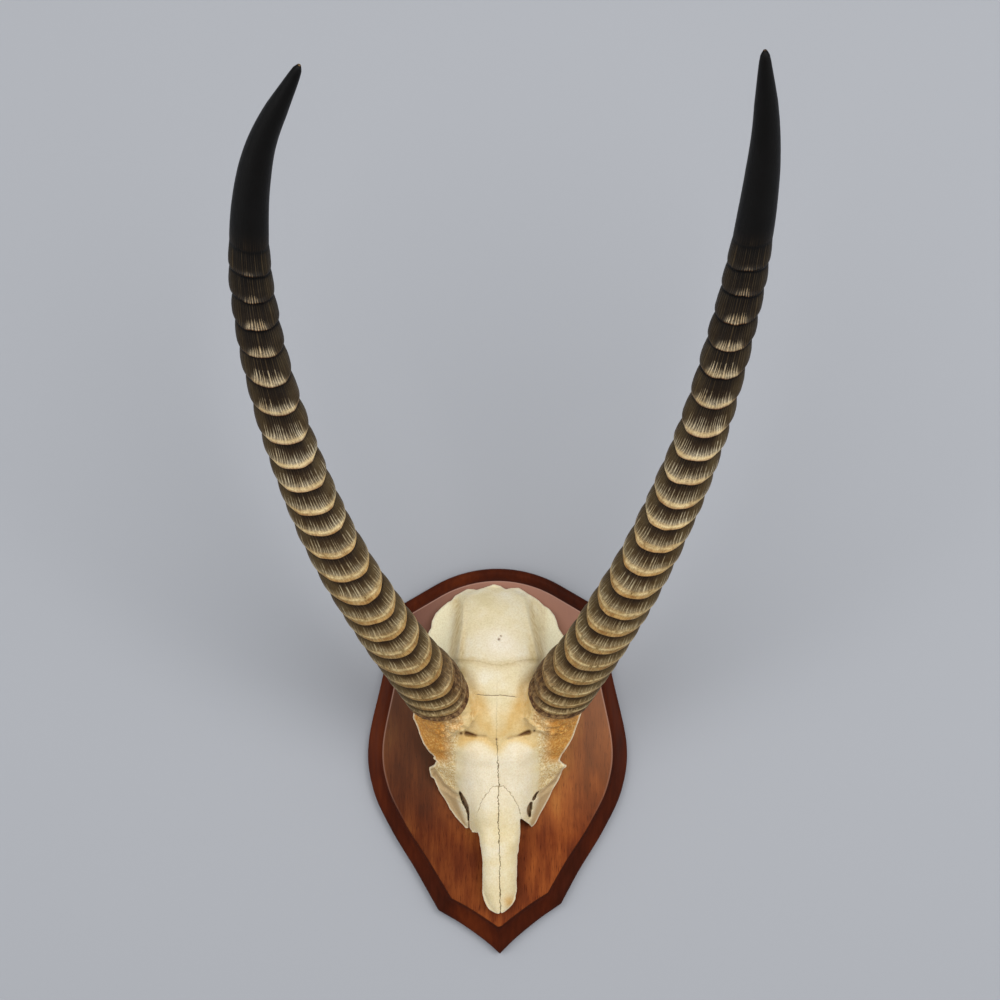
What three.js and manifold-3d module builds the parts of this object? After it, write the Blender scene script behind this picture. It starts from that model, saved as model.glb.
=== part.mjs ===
// A waterbuck's horns on their skull plate, screwed to a shield-shaped board that hangs on a wall.
// Millimetres, +Z up. The board's back lies in y = 0, its middle is the origin, and the horns reach
// out towards -Y. The left horn is the one at -X.

import * as THREE from 'three';
import { mergeVertices } from 'three/addons/utils/BufferGeometryUtils.js';
import Module from 'manifold-3d';

const wasm = await Module();
wasm.setup();

const GAP = 0.3; // clearance between pieces that touch
const CUT_PAST = 1; // a cutter runs this far out of what it cuts

// Board: a hardwood shield with a routed edge
const BOARD_THICK = 20;
const BOARD_TOP = 178.5;
const TOP_ARC_RADIUS = 118;
const TOP_ARC_ANGLE = THREE.MathUtils.degToRad(29.4);
const BOARD_SHOULDER = [93, 143];
const BOARD_SIDE = [[108, 76], [121, 14], [116.5, -28], [99.6, -65.6], [77, -103]];
const BOARD_CORNER = [57.5, -137.7];
const BOARD_OGEE = [[36, -151.5], [14, -168.5]];
const BOARD_TIP = [0, -181.5];
// Edge moulding, from the back to the face: [depth from the back, inset from the outline]
const BOARD_EDGE = [[0, 1], [1, 0], [8, 0], [9.4, 0.9], [11, 3], [12, 5.8], [14, 8.7], [17.5, 10.9],
  [19.2, 11.5], [20, 12.2]];

// Sawtooth hanger in a shallow recess near the top of the back
const HANGER = { z: 112, width: 58, high: 11, thick: 0.9, sunk: 0.2 };
const TAB = { long: 10, slope: 2, bend: 0.7 }; // flat end, and the rise from it to the raised middle
const TEETH = { count: 12, deep: 2.1, plainEnd: 3, notchShare: 0.9 };
const RECESS = { width: 64, high: 20, deep: 3.4 };
const NAIL = { head: 2.2, headTop: 1.54, headHigh: 0.8, shank: 0.8, long: 10, point: 2 };

// Screws that hold the skull plate from behind
const SKULL_SCREW = { x: 20, z: 52, head: 4.2, headDeep: 3.2, shank: 2.1, long: 46 };
const SCREW_POINT = { radius: 1.26, taperFrom: 2, taperTo: 6 }; // taper measured from the screw's end

// Horns: centre lines from the skull to the tip, then the rings
const HORN_PATH = {
  left: [[-43, -81, 50], [-51, -94, 63], [-99, -165, 134], [-139, -224, 204], [-169, -278, 282],
    [-190, -328, 365], [-197, -371, 442], [-185, -417, 513], [-149, -475, 571]],
  right: [[46, -81, 52], [54, -94, 65], [99, -165, 138], [135, -223, 208], [166, -278, 288],
    [188, -328, 371], [202, -372, 446], [208, -420, 519], [202, -476, 582]],
};
// Radius over the ring lips, against the share of the way to the tip
const HORN_RADIUS = [[0, 27.5], [0.15, 26], [0.35, 23.3], [0.55, 20.2], [0.7, 17.9], [0.84, 13.6],
  [0.93, 9.2], [0.97, 6], [0.985, 4.7], [0.994, 3.6], [1, 1.4]];
const HORN_START = 20; // length of centre line inside the skull, below the horn's lower edge
// The lower edge rises by this much on the side near the midline, and the rings less and less above it
const LOW_RIM_RISE = { left: 12, right: 9 };
const LOW_RIM_FADE = 60;
const HORN_SIDES = 16;
const FIRST_RING = 28; // the lowest ring's lip, from the start of the centre line
// From each ring's lip to the next one up
const RING_STEPS = [11.5, 17.5, 19, 20, 23.5, 23, 22, 25, 27, 26.5, 25, 21, 23.5, 23, 23, 26.5, 26.5, 25,
  23, 23.5, 22];
// How far the horn steps in under its lips, against the share of the way to the tip
const RING_DEPTH = [[0, 2.2], [0.15, 3.4], [0.5, 3.4], [0.62, 2.9], [0.7, 2], [0.77, 0.3], [1, 0]];
const RING_BACK_SHARE = 0.4; // a ring is this much as deep at the back of the horn
// A ring's plane leans: its front drops towards the skull, and so does the side near the midline
const RING_DROOP = [[0, 0.11], [0.05, 0.36], [0.15, 0.42], [0.35, 0.48], [0.55, 0.38], [0.7, 0.2],
  [0.8, 0.1], [1, 0]];
const RING_SKEW = [[0, 0.38], [0.2, 0.24], [0.6, 0.2], [1, 0.1]];
// One ring's shape: [share of the way to the next lip, how far it has stepped in]
const RING_SHAPE = [[0, 0], [0.5, 0.75], [0.9, 1]];
const FOOT_SUNK = 0.6; // the same at the horn's lower edge
const TIP_ROWS = 9;
const TIP_CROWDING = 1.5; // above 1, the rows lie closer towards the tip

// Skull plate, rib by rib down the board: height on the board, then the front half from the midline to
// the rim as [sideways, height over the board's face], and the underside's height below those points
const SKULL_RIBS = [
  [162, [[0, 8], [5, 7.8], [10, 7.4], [14, 6.8], [17, 6.2], [20, 5.5]], [0, 0, 0, 0, 0, 0]],
  [153, [[0, 24], [15, 22.5], [24, 20.5], [32, 13], [38, 9.5], [43, 8]], [8, 6, 3, 0, 0, 0]],
  [143, [[0, 37], [17, 35.5], [28, 32], [37, 19], [46, 13.5], [54, 11]], [26, 24, 18, 0, 0, 0]],
  [129, [[0, 49], [19, 47.5], [30, 44], [40, 27], [50, 19], [60, 15]], [41, 39, 30, 0, 0, 0]],
  [118, [[0, 56], [20, 54.5], [32, 50.5], [42, 32], [53, 22], [63, 17]], [48, 46, 34, 0, 0, 0]],
  [98, [[0, 66], [18, 65], [34, 60.5], [44, 43], [54, 30], [62, 20]], [54, 50, 36, 0, 0, 0]],
  [71, [[0, 73], [16, 72.5], [26, 68], [42, 62], [56, 50], [64, 30]], [20, 14, 0, 0, 0, 6]],
  [51, [[0, 73], [16, 72], [28, 69], [44, 71], [60, 62], [76, 48]], [0, 0, 0, 8, 40, 42]],
  [31, [[0, 67], [16, 66], [27, 57], [42, 62], [56, 56], [70, 44]], [0, 0, 0, 12, 42, 38]],
  [16, [[0, 61.5], [12, 63], [26, 60], [38, 55], [51, 48], [65, 39]], [0, 0, 0, 12, 38, 33]],
  [8, [[0, 59], [12, 60.5], [24, 57], [36, 50], [46, 42], [57, 33]], [20, 16, 8, 6, 24, 26]],
  [-1, [[0, 55], [12, 56], [24, 52], [37, 43], [50, 33], [63, 22]], [34, 30, 20, 8, 12, 14]],
  [-15, [[0, 50], [11, 51], [22, 47.5], [33, 38], [43, 25], [56, 13]], [38, 36, 28, 6, 0, 0]],
  [-31, [[0, 45], [10, 45.5], [20, 42], [31, 31], [38, 19], [48, 8]], [36, 35, 30, 8, 0, 0]],
  [-48, [[0, 41], [9, 40.5], [17, 37], [25, 27], [31, 16], [39, 5]], [33, 32, 29, 14, 0, 0]],
  [-60, [[0, 37], [8, 36.5], [15, 34], [20, 28], [24, 20], [31, 6]], [31, 31, 29, 22, 4, 0]],
  [-65, [[0, 36], [7, 35.6], [12, 34.2], [15.5, 31.5], [18, 28], [19.4, 25]], [31, 31, 30, 27, 24, 21]],
  [-90, [[0, 30], [6, 29.7], [10, 28.3], [13.5, 25.6], [15.6, 22.8], [16.8, 19.6]],
    [25, 25, 24, 22, 19, 17]],
  [-117, [[0, 22], [5, 21.7], [9, 20.4], [12, 18.2], [14, 15.8], [15.4, 13.4]], [17, 17, 16, 14, 12, 11]],
  [-131, [[0, 17], [3.5, 16.7], [6, 15.9], [8, 14.8], [9.6, 13.4], [10.6, 12]],
    [12, 12, 11.5, 11, 10, 9.4]],
  [-140.5, [[0, 13.5], [0.5, 13.4], [1, 13.2], [1.5, 13], [2, 12.7], [2.5, 12.4]],
    [9.5, 9.5, 9.5, 9.5, 9.5, 9.5]],
].map(([z, front, under]) => ({ z, front, under }));
const LONG_RIB_GAP = 14; // wider gaps between ribs get a row halfway
const PEDICLE_RADIUS = 23; // bone stub that the horn sits on
const PEDICLE_FOOT = -2; // its lower end, from the start of the horn's centre line

// Material colours
const WOOD = new THREE.MeshStandardMaterial({ color: 0x6a3522, roughness: 0.45, metalness: 0 });
const BONE = new THREE.MeshStandardMaterial({ color: 0xe0cfa0, roughness: 0.6, metalness: 0 });
const HORN = new THREE.MeshStandardMaterial({ color: 0x6b5636, roughness: 0.5, metalness: 0 });
const BRASSED_STEEL = new THREE.MeshStandardMaterial({ color: 0xb79a58, roughness: 0.35, metalness: 1 });
const ZINC_STEEL = new THREE.MeshStandardMaterial({ color: 0xb9bcc0, roughness: 0.35, metalness: 1 });

// Straight-line value between stations [[at, value], ...]
function valueAt(stations, at) {
  const last = stations.length - 1;
  if (at <= stations[0][0]) return stations[0][1];
  for (let i = 0; i < last; i++) {
    const [a, from] = stations[i];
    const [b, to] = stations[i + 1];
    if (at <= b) return from + ((to - from) * (at - a)) / (b - a);
  }
  return stations[last][1];
}

// Smooth value through rising stations that never swings past them (monotone cubic)
function smoothAt(at, values, where) {
  const last = at.length - 1;
  const slopes = at.slice(1).map((b, i) => (values[i + 1] - values[i]) / (b - at[i]));
  const tangent = (i) => {
    if (i === 0) return slopes[0];
    if (i === last) return slopes[last - 1];
    const before = slopes[i - 1];
    const after = slopes[i];
    return before * after <= 0 ? 0 : (2 * before * after) / (before + after);
  };
  const found = at.findIndex((b, i) => i > 0 && where <= b);
  const i = found < 0 ? last - 1 : found - 1;
  const width = at[i + 1] - at[i];
  const t = Math.min(1, Math.max(0, (where - at[i]) / width));
  const t2 = t * t;
  const t3 = t2 * t;
  return (2 * t3 - 3 * t2 + 1) * values[i] + (t3 - 2 * t2 + t) * width * tangent(i)
    + (3 * t2 - 2 * t3) * values[i + 1] + (t3 - t2) * width * tangent(i + 1);
}

// Indexed geometry from points and triangles
function indexed(points, triangles) {
  const geometry = new THREE.BufferGeometry();
  geometry.setAttribute('position', new THREE.Float32BufferAttribute(points.flat(), 3));
  geometry.setIndex(triangles.flat());
  return geometry;
}

// three.js geometry to a closed solid, and back
function toSolid(geometry) {
  const bare = geometry.clone();
  bare.deleteAttribute('normal');
  bare.deleteAttribute('uv');
  const merged = mergeVertices(bare, 1e-4);
  return new wasm.Manifold(new wasm.Mesh({
    numProp: 3,
    vertProperties: new Float32Array(merged.attributes.position.array),
    triVerts: new Uint32Array(merged.index.array),
  }));
}

function toGeometry(solid) {
  const mesh = solid.getMesh();
  const geometry = new THREE.BufferGeometry();
  geometry.setAttribute('position', new THREE.BufferAttribute(mesh.vertProperties, 3));
  geometry.setIndex(new THREE.BufferAttribute(mesh.triVerts, 1));
  geometry.computeVertexNormals();
  return geometry;
}

// Closed solid from rings of points: quads between rings, a fan over each end
function ringsToSolid(rings) {
  const sides = rings[0].length;
  const points = rings.flat();
  const triangles = [];
  for (let row = 0; row + 1 < rings.length; row++) {
    for (let k = 0; k < sides; k++) {
      const a = row * sides + k;
      const b = row * sides + ((k + 1) % sides);
      triangles.push([a, b, b + sides], [a, b + sides, a + sides]);
    }
  }
  const middle = (ring) => [0, 1, 2].map((c) => ring.reduce((sum, p) => sum + p[c], 0) / sides);
  const top = (rings.length - 1) * sides;
  points.push(middle(rings[0]), middle(rings[rings.length - 1]));
  for (let k = 0; k < sides; k++) {
    const next = (k + 1) % sides;
    triangles.push([points.length - 2, next, k], [points.length - 1, top + k, top + next]);
  }
  return toSolid(indexed(points, triangles));
}

// Turned solid about Y through (x, z), from a profile of [radius, y]
function turned(profile, x, z, sides) {
  const points = profile.map(([r, y]) => new THREE.Vector2(r, y));
  return toSolid(new THREE.LatheGeometry(points, sides).translate(x, 0, z));
}

// A flat outline drawn out along Z
function extruded(outline, depth) {
  const shape = new THREE.Shape(outline.map(([x, y]) => new THREE.Vector2(x, y)));
  return new THREE.ExtrudeGeometry(shape, { depth, bevelEnabled: false });
}

// Block from its corners
function block(low, high) {
  const size = [0, 1, 2].map((c) => high[c] - low[c]);
  const centre = [0, 1, 2].map((c) => (high[c] + low[c]) / 2);
  return toSolid(new THREE.BoxGeometry(...size).translate(...centre));
}

function mesh(name, solid, material) {
  const part = new THREE.Mesh(toGeometry(solid), material);
  part.name = name;
  return part;
}

// Board outline seen from the front, counter-clockwise in (x, z)
function boardOutline() {
  const right = [];
  const arcCentre = BOARD_TOP - TOP_ARC_RADIUS;
  for (let i = 5; i >= 1; i--) {
    const angle = (TOP_ARC_ANGLE * i) / 5;
    right.push([TOP_ARC_RADIUS * Math.sin(angle), arcCentre + TOP_ARC_RADIUS * Math.cos(angle)]);
  }
  const through = (points, count) => {
    const curve = new THREE.SplineCurve(points.map(([x, z]) => new THREE.Vector2(x, z)));
    return curve.getPoints(count).map((p) => [p.x, p.y]);
  };
  const side = through([BOARD_SHOULDER, ...BOARD_SIDE, BOARD_CORNER], 16);
  const ogee = through([BOARD_CORNER, ...BOARD_OGEE, BOARD_TIP], 6);
  const down = [...right.reverse(), ...side, ...ogee.slice(1, -1)];
  const mirrored = down.map(([x, z]) => [-x, z]);
  return [[0, BOARD_TOP], ...mirrored, BOARD_TIP, ...down.reverse()];
}

// Outline moved inwards, each corner kept sharp
function inset(outline, distance) {
  const count = outline.length;
  return outline.map(([x, z], i) => {
    const [px, pz] = outline[(i + count - 1) % count];
    const [nx, nz] = outline[(i + 1) % count];
    const before = new THREE.Vector2(x - px, z - pz).normalize();
    const after = new THREE.Vector2(nx - x, nz - z).normalize();
    const inwards = new THREE.Vector2(-before.y - after.y, before.x + after.x).normalize();
    const reach = distance / (inwards.x * -after.y + inwards.y * after.x);
    return [x + inwards.x * reach, z + inwards.y * reach];
  });
}

function boardSolid() {
  const outline = boardOutline();
  const count = outline.length;
  const points = [];
  const triangles = [];
  for (const [depth, distance] of BOARD_EDGE) {
    for (const [x, z] of inset(outline, distance)) points.push([x, -depth, z]);
  }
  for (let row = 0; row + 1 < BOARD_EDGE.length; row++) {
    for (let k = 0; k < count; k++) {
      const a = row * count + k;
      const b = row * count + ((k + 1) % count);
      triangles.push([a, b, b + count], [a, b + count, a + count]);
    }
  }
  const capped = (row) => {
    const flat = inset(outline, BOARD_EDGE[row][1]).map(([x, z]) => new THREE.Vector2(x, z));
    return THREE.ShapeUtils.triangulateShape(flat, []).map((face) => face.map((k) => row * count + k));
  };
  for (const [a, b, c] of capped(0)) triangles.push([a, c, b]);
  triangles.push(...capped(BOARD_EDGE.length - 1));
  return toSolid(indexed(points, triangles));
}

// Skull plate: ribs joined into a front and an underside, closed round the rim
function skullBody(grow) {
  const ribs = [...SKULL_RIBS].reverse();
  const stations = ribs.map((rib) => rib.z);
  const rows = [];
  stations.forEach((z, i) => {
    rows.push(z);
    const next = stations[i + 1];
    if (next - z > LONG_RIB_GAP) rows.push((z + next) / 2);
  });
  const lines = SKULL_RIBS[0].front.length;
  const along = (z, pick) => smoothAt(stations, ribs.map(pick), z);
  const front = [];
  const under = [];
  for (const z of rows) {
    const end = z === rows[0] ? -grow : z === rows[rows.length - 1] ? grow : 0;
    const half = [];
    for (let j = 0; j < lines; j++) {
      const x = along(z, (rib) => rib.front[j][0]);
      const top = along(z, (rib) => rib.front[j][1]);
      const low = along(z, (rib) => rib.under[j]);
      const wide = j === lines - 1 ? grow : 0;
      half.push([x + wide, top + grow, grow > 0 ? -1 : Math.max(GAP, low), z + end]);
    }
    const whole = [...half.slice(1).reverse().map(([x, ...rest]) => [-x, ...rest]), ...half];
    front.push(whole.map(([x, top, , at]) => [x, -BOARD_THICK - top, at]));
    under.push(whole.map(([x, , low, at]) => [x, -BOARD_THICK - low, at]));
  }
  const columns = front[0].length;
  const points = [...front.flat(), ...under.flat()];
  const lower = rows.length * columns;
  const triangles = [];
  for (let r = 0; r + 1 < rows.length; r++) {
    for (let c = 0; c + 1 < columns; c++) {
      const a = r * columns + c;
      const b = a + columns;
      triangles.push([a, a + 1, b + 1], [a, b + 1, b]);
      triangles.push([lower + a, lower + b + 1, lower + a + 1], [lower + a, lower + b, lower + b + 1]);
    }
  }
  const rim = [];
  for (let c = 0; c < columns; c++) rim.push(c);
  for (let r = 1; r < rows.length; r++) rim.push(r * columns + columns - 1);
  for (let c = columns - 2; c >= 0; c--) rim.push((rows.length - 1) * columns + c);
  for (let r = rows.length - 2; r >= 1; r--) rim.push(r * columns);
  rim.forEach((a, i) => {
    const b = rim[(i + 1) % rim.length];
    triangles.push([a, lower + a, lower + b], [a, lower + b, b]);
  });
  return toSolid(indexed(points, triangles));
}

// Points on a horn: a leaning ring of a given radius about the centre line
function hornMaker(side) {
  const curve = new THREE.CatmullRomCurve3(HORN_PATH[side].map((p) => new THREE.Vector3(...p)));
  curve.arcLengthDivisions = 600;
  const long = curve.getLength();
  const towardsMidline = side === 'left' ? 1 : -1;
  const ring = (at, radius) => {
    const share = Math.max(0, at - HORN_START) / (long - HORN_START);
    const droop = valueAt(RING_DROOP, share);
    const skew = valueAt(RING_SKEW, share);
    const above = Math.max(0, at - HORN_START);
    const rise = LOW_RIM_RISE[side] * Math.exp(-above / LOW_RIM_FADE);
    const points = [];
    for (let k = 0; k < HORN_SIDES; k++) {
      const angle = (2 * Math.PI * k) / HORN_SIDES;
      const reach = typeof radius === 'function' ? radius(Math.cos(angle)) : radius;
      const inner = towardsMidline * Math.sin(angle);
      const slide = -(droop * Math.cos(angle) + skew * inner) * reach;
      const place = at + slide + rise * Math.max(0, inner) ** 2;
      const share01 = THREE.MathUtils.clamp(place / long, 0, 1);
      const centre = curve.getPointAt(share01);
      const tangent = curve.getTangentAt(share01);
      centre.addScaledVector(tangent, place < 0 ? place : Math.max(0, place - long));
      const forward = new THREE.Vector3(0, -1, 0);
      forward.addScaledVector(tangent, tangent.y).normalize();
      const sideways = new THREE.Vector3().crossVectors(tangent, forward);
      sideways.multiplyScalar(sideways.x < 0 ? -1 : 1);
      centre.addScaledVector(forward, reach * Math.cos(angle));
      centre.addScaledVector(sideways, reach * Math.sin(angle));
      points.push(centre.toArray());
    }
    return points;
  };
  return { ring, long };
}

// Each ring flares towards the skull into a lip and steps in sharply below it
function hornSolid(side) {
  const { ring, long } = hornMaker(side);
  const radiusAt = (at, sunk) => (front) => {
    const share = Math.max(0, at - HORN_START) / (long - HORN_START);
    const strength = RING_BACK_SHARE + (1 - RING_BACK_SHARE) * (0.5 + 0.5 * front);
    return valueAt(HORN_RADIUS, share) - sunk * strength * valueAt(RING_DEPTH, share);
  };
  const rings = [ring(HORN_START, radiusAt(HORN_START, FOOT_SUNK))];
  let lip = FIRST_RING;
  for (const step of [...RING_STEPS, RING_STEPS[RING_STEPS.length - 1]]) {
    for (const [along, sunk] of RING_SHAPE) {
      const at = lip + along * step;
      rings.push(ring(at, radiusAt(at, sunk)));
    }
    lip += step;
  }
  for (let i = 1; i <= TIP_ROWS; i++) {
    const towards = 1 - (1 - i / TIP_ROWS) ** TIP_CROWDING;
    const at = lip + (long - lip) * towards;
    rings.push(ring(at, radiusAt(at, 0)));
  }
  return ringsToSolid(rings);
}

function pedicleSolid(side) {
  const { ring } = hornMaker(side);
  const top = HORN_START - GAP;
  return ringsToSolid([
    ring(PEDICLE_FOOT, PEDICLE_RADIUS),
    ring(top / 2, PEDICLE_RADIUS),
    ring(top, PEDICLE_RADIUS - 1),
  ]);
}

// A screw, or with grow above 0 the hole for it, open at the back
function screwSolid(x, z, grow) {
  const { head, headDeep, shank, long } = SKULL_SCREW;
  const { radius, taperFrom, taperTo } = SCREW_POINT;
  const profile = [
    [0, -long - grow],
    [radius + grow, -long + taperFrom - grow],
    [shank + grow, -long + taperTo],
    [shank + grow, -headDeep - GAP - grow],
    [head + grow, -GAP - grow],
  ];
  const back = grow > 0 ? [[head + grow, CUT_PAST], [0, CUT_PAST]] : [[0, -GAP]];
  return turned([...profile, ...back], x, z, 12);
}

// A hanger nail, or with grow above 0 the hole for it
function nailSolid(x, grow) {
  const { head, headTop, headHigh, shank, long, point } = NAIL;
  const tabTop = HANGER.thick + 2 * GAP - RECESS.deep;
  const hole = [[0, -long - GAP], [shank + grow, -long], [shank + grow, CUT_PAST], [0, CUT_PAST]];
  const nail = [
    [0, -long],
    [shank, -long + point],
    [shank, tabTop],
    [head, tabTop],
    [headTop, tabTop + headHigh],
    [0, tabTop + headHigh],
  ];
  return turned(grow > 0 ? hole : nail, x, HANGER.z, 10);
}

// Hanger: a strip with a raised middle and flat end tabs, toothed along the raised part's lower edge
function hangerSolid() {
  const { z, width, high, thick, sunk } = HANGER;
  const floor = GAP - RECESS.deep;
  const half = width / 2;
  const foot = half - TAB.long;
  const bend = foot + TAB.bend;
  const lower = [[half, floor], [foot, floor], [foot - TAB.slope, -sunk - thick]];
  const upper = [[half, floor + thick], [bend, floor + thick], [bend - TAB.slope, -sunk]];
  const mirrored = (points) => points.map(([x, y]) => [-x, y]);
  const profile = [...mirrored(lower), ...[...lower].reverse(), ...upper, ...mirrored(upper).reverse()];
  const strip = extruded(profile, high).translate(0, 0, z - high / 2);
  let hanger = toSolid(strip);
  const edge = z - high / 2;
  const run = width - 2 * (TAB.long + TEETH.plainEnd);
  const pitch = run / TEETH.count;
  const wide = (pitch / 2) * TEETH.notchShare;
  for (let i = 0; i < TEETH.count; i++) {
    const x = (i + 0.5) * pitch - run / 2;
    const notch = [[x - wide, edge - CUT_PAST], [x + wide, edge - CUT_PAST], [x, edge + TEETH.deep]];
    const cutter = extruded(notch, RECESS.deep + 2 * CUT_PAST).rotateX(Math.PI / 2);
    hanger = hanger.subtract(toSolid(cutter.translate(0, CUT_PAST, 0)));
  }
  for (const x of nailPlaces()) hanger = hanger.subtract(nailSolid(x, GAP));
  return hanger;
}

function nailPlaces() {
  const x = (HANGER.width - TAB.long) / 2;
  return [-x, x];
}

// Pieces
const withPedicles = (body) => body.add(pedicleSolid('left')).add(pedicleSolid('right'));
const skullGrown = withPedicles(skullBody(GAP));

let board = boardSolid();
board = board.subtract(block(
  [-RECESS.width / 2, -RECESS.deep, HANGER.z - RECESS.high / 2],
  [RECESS.width / 2, CUT_PAST, HANGER.z + RECESS.high / 2]));
for (const x of nailPlaces()) board = board.subtract(nailSolid(x, GAP));

let skull = withPedicles(skullBody(0));
for (const x of [-SKULL_SCREW.x, SKULL_SCREW.x]) {
  const hole = screwSolid(x, SKULL_SCREW.z, GAP);
  board = board.subtract(hole);
  skull = skull.subtract(hole);
}

const group = new THREE.Group();
group.add(mesh('plaque', board, WOOD));
group.add(mesh('skull_plate', skull, BONE));
for (const side of ['left', 'right']) {
  const horn = hornSolid(side).subtract(skullGrown);
  group.add(mesh(`${side}_horn`, horn, HORN));
}
group.add(mesh('sawtooth_hanger', hangerSolid(), BRASSED_STEEL));
nailPlaces().forEach((x, i) => {
  group.add(mesh(`hanger_nail_${i + 1}`, nailSolid(x, 0), BRASSED_STEEL));
});
[-SKULL_SCREW.x, SKULL_SCREW.x].forEach((x, i) => {
  group.add(mesh(`skull_screw_${i + 1}`, screwSolid(x, SKULL_SCREW.z, 0), ZINC_STEEL));
});

export default group;
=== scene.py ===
import math

import bpy
import numpy as np
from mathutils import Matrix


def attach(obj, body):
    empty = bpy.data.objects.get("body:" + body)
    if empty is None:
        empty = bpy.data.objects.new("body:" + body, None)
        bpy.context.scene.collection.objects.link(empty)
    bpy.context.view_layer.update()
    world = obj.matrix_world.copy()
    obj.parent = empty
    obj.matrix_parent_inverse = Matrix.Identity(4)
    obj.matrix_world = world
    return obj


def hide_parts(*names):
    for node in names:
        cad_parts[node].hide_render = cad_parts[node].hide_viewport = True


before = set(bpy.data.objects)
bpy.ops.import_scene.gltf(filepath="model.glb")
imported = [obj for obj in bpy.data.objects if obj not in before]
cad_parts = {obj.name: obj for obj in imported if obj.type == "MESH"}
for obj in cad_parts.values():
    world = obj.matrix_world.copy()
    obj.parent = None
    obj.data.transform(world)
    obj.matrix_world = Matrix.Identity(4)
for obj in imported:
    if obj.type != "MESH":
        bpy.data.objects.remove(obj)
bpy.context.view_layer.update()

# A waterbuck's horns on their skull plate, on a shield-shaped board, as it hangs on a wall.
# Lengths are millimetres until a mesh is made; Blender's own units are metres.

import openvdb
from mathutils import Vector
from mathutils.geometry import tessellate_polygon

MM = 0.001

# Camera: square in front of the wall, a little above the board's middle
CAMERA_FROM_WALL = 2400
CAMERA_X = 2.3
CAMERA_Z = 243
VIEW_WIDTH_AT_WALL = 940
SENSOR = 36

# Wall: how far behind the board, how far it reaches, and how far behind the board's rim it goes on
WALL_AT = 1
WALL_REACH = 3000
WALL_OVERLAP = 6

# Board
BOARD_THICK = 20
BOARD_TOP = 178.5
TOP_ARC_RADIUS = 118
TOP_ARC_ANGLE = math.radians(29.4)
BOARD_SHOULDER = (93, 143)
BOARD_SIDE = [(108, 76), (121, 14), (116.5, -28), (99.6, -65.6), (77, -103)]
BOARD_CORNER = (57.5, -137.7)
BOARD_OGEE = [(36, -151.5), (14, -168.5)]
BOARD_TIP = (0, -181.5)
# Edge moulding, back to face: (depth from the back, inset from the outline)
BOARD_EDGE = [(0, 1.2), (0.4, 0.5), (1.2, 0), (7.6, 0), (8.6, 0.25), (9.5, 1), (10.4, 2), (11, 3),
              (11.4, 4.2), (11.9, 5.5), (12.7, 7), (13.8, 8.5), (15.2, 9.8), (16.9, 10.8), (18.2, 11.1),
              (18.7, 11.2), (18.9, 11.5), (19.6, 11.7), (19.9, 11.95), (20, 12.3), (20, 12.9)]
# How many times as wide the moulding is at each height, (z, times)
EDGE_WIDENS = [(-182, 1.7), (-137, 1.48), (-80, 1.34), (0, 1.22), (60, 1.12), (100, 1.02), (180, 0.95)]
# The lower end was sawn a little askew: the heights that it sets in between, its shift sideways and up,
# and its tilt
ASKEW = {"from": -95, "to": -140, "x": 2.2, "z": -0.6, "tilt": 0.055}
# The face's rim, painted lighter as a highlight: the moulding's rows that are deeper than this from the back
# and inset less than this
ARRIS = {"depth": 19.5, "inset": 12.5}
# Points along the arc, the slope beside it, and each stretch of the side and of the ogee
OUTLINE_STEPS = {"arc": 18, "slope": 13, "side": 14, "ogee": 9}
# A corner counts as sharp from this sine of its turn on. Points that would pass it wait this far apart, at
# most this many on each side
SHARP_TURN = 0.3
WAITING_GAP = 0.05
WAITING_POINTS = 10
HANGER_Z = 112
RECESS = {"width": 64, "high": 20, "deep": 3.4}
NAIL = {"x": 24, "hole": 1.1, "long": 10.3}
SCREW = {"x": 20, "z": 52, "head": 4.5, "head_deep": 3.5, "shank": 2.4}

# Horns
HORN_PATH = {
    "left": [(-43, -81, 50), (-51, -94, 63), (-99, -165, 134), (-139, -224, 204), (-169, -278, 282),
             (-190, -328, 365), (-197, -371, 442), (-185, -417, 513), (-149, -475, 571)],
    "right": [(46, -81, 52), (54, -94, 65), (99, -165, 138), (135, -223, 208), (166, -278, 288),
              (188, -328, 371), (202, -372, 446), (208, -420, 519), (202, -476, 582)],
}
HORN_RADIUS = [(0, 27.5), (0.15, 26), (0.35, 23.3), (0.55, 20.2), (0.7, 17.9), (0.84, 13.6),
               (0.93, 9.2), (0.97, 6), (0.985, 4.7), (0.994, 3.6), (1, 1.4)]
HORN_START = 20
FIRST_RING = 28
# The length of the low roll under the first ring, and how round the horn's lower rim is
FOOT_ROLL = 9
RIM_ROUND = 2.4
# From each ring's lip to the next one up
RING_STEPS = [11.5, 17.5, 19, 20, 23.5, 23, 22, 25, 27, 26.5, 25, 21, 23.5, 23, 23, 26.5, 26.5, 25, 23,
              23.5, 22]
RING_DEPTH = [(0, 2.2), (0.06, 3.4), (0.15, 4.6), (0.5, 4.6), (0.62, 3.6), (0.7, 2.5), (0.745, 1.2),
              (0.77, 0.3), (0.79, 0), (1, 0)]
# How deep the rings are behind, as a share of the front, and where along the horn they fade out
RING_BACK_SHARE = 0.6
RINGS_FADE = (0.775, 0.73)
# Fine flutes round the horn: how many, and how deep
FLUTES = (46, 0.16)
RING_DROOP = [(0, 0.11), (0.05, 0.36), (0.15, 0.42), (0.35, 0.48), (0.55, 0.38), (0.7, 0.2),
              (0.8, 0.1), (1, 0)]
RING_SKEW = [(0, 0.38), (0.2, 0.24), (0.6, 0.2), (1, 0.1)]
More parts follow.
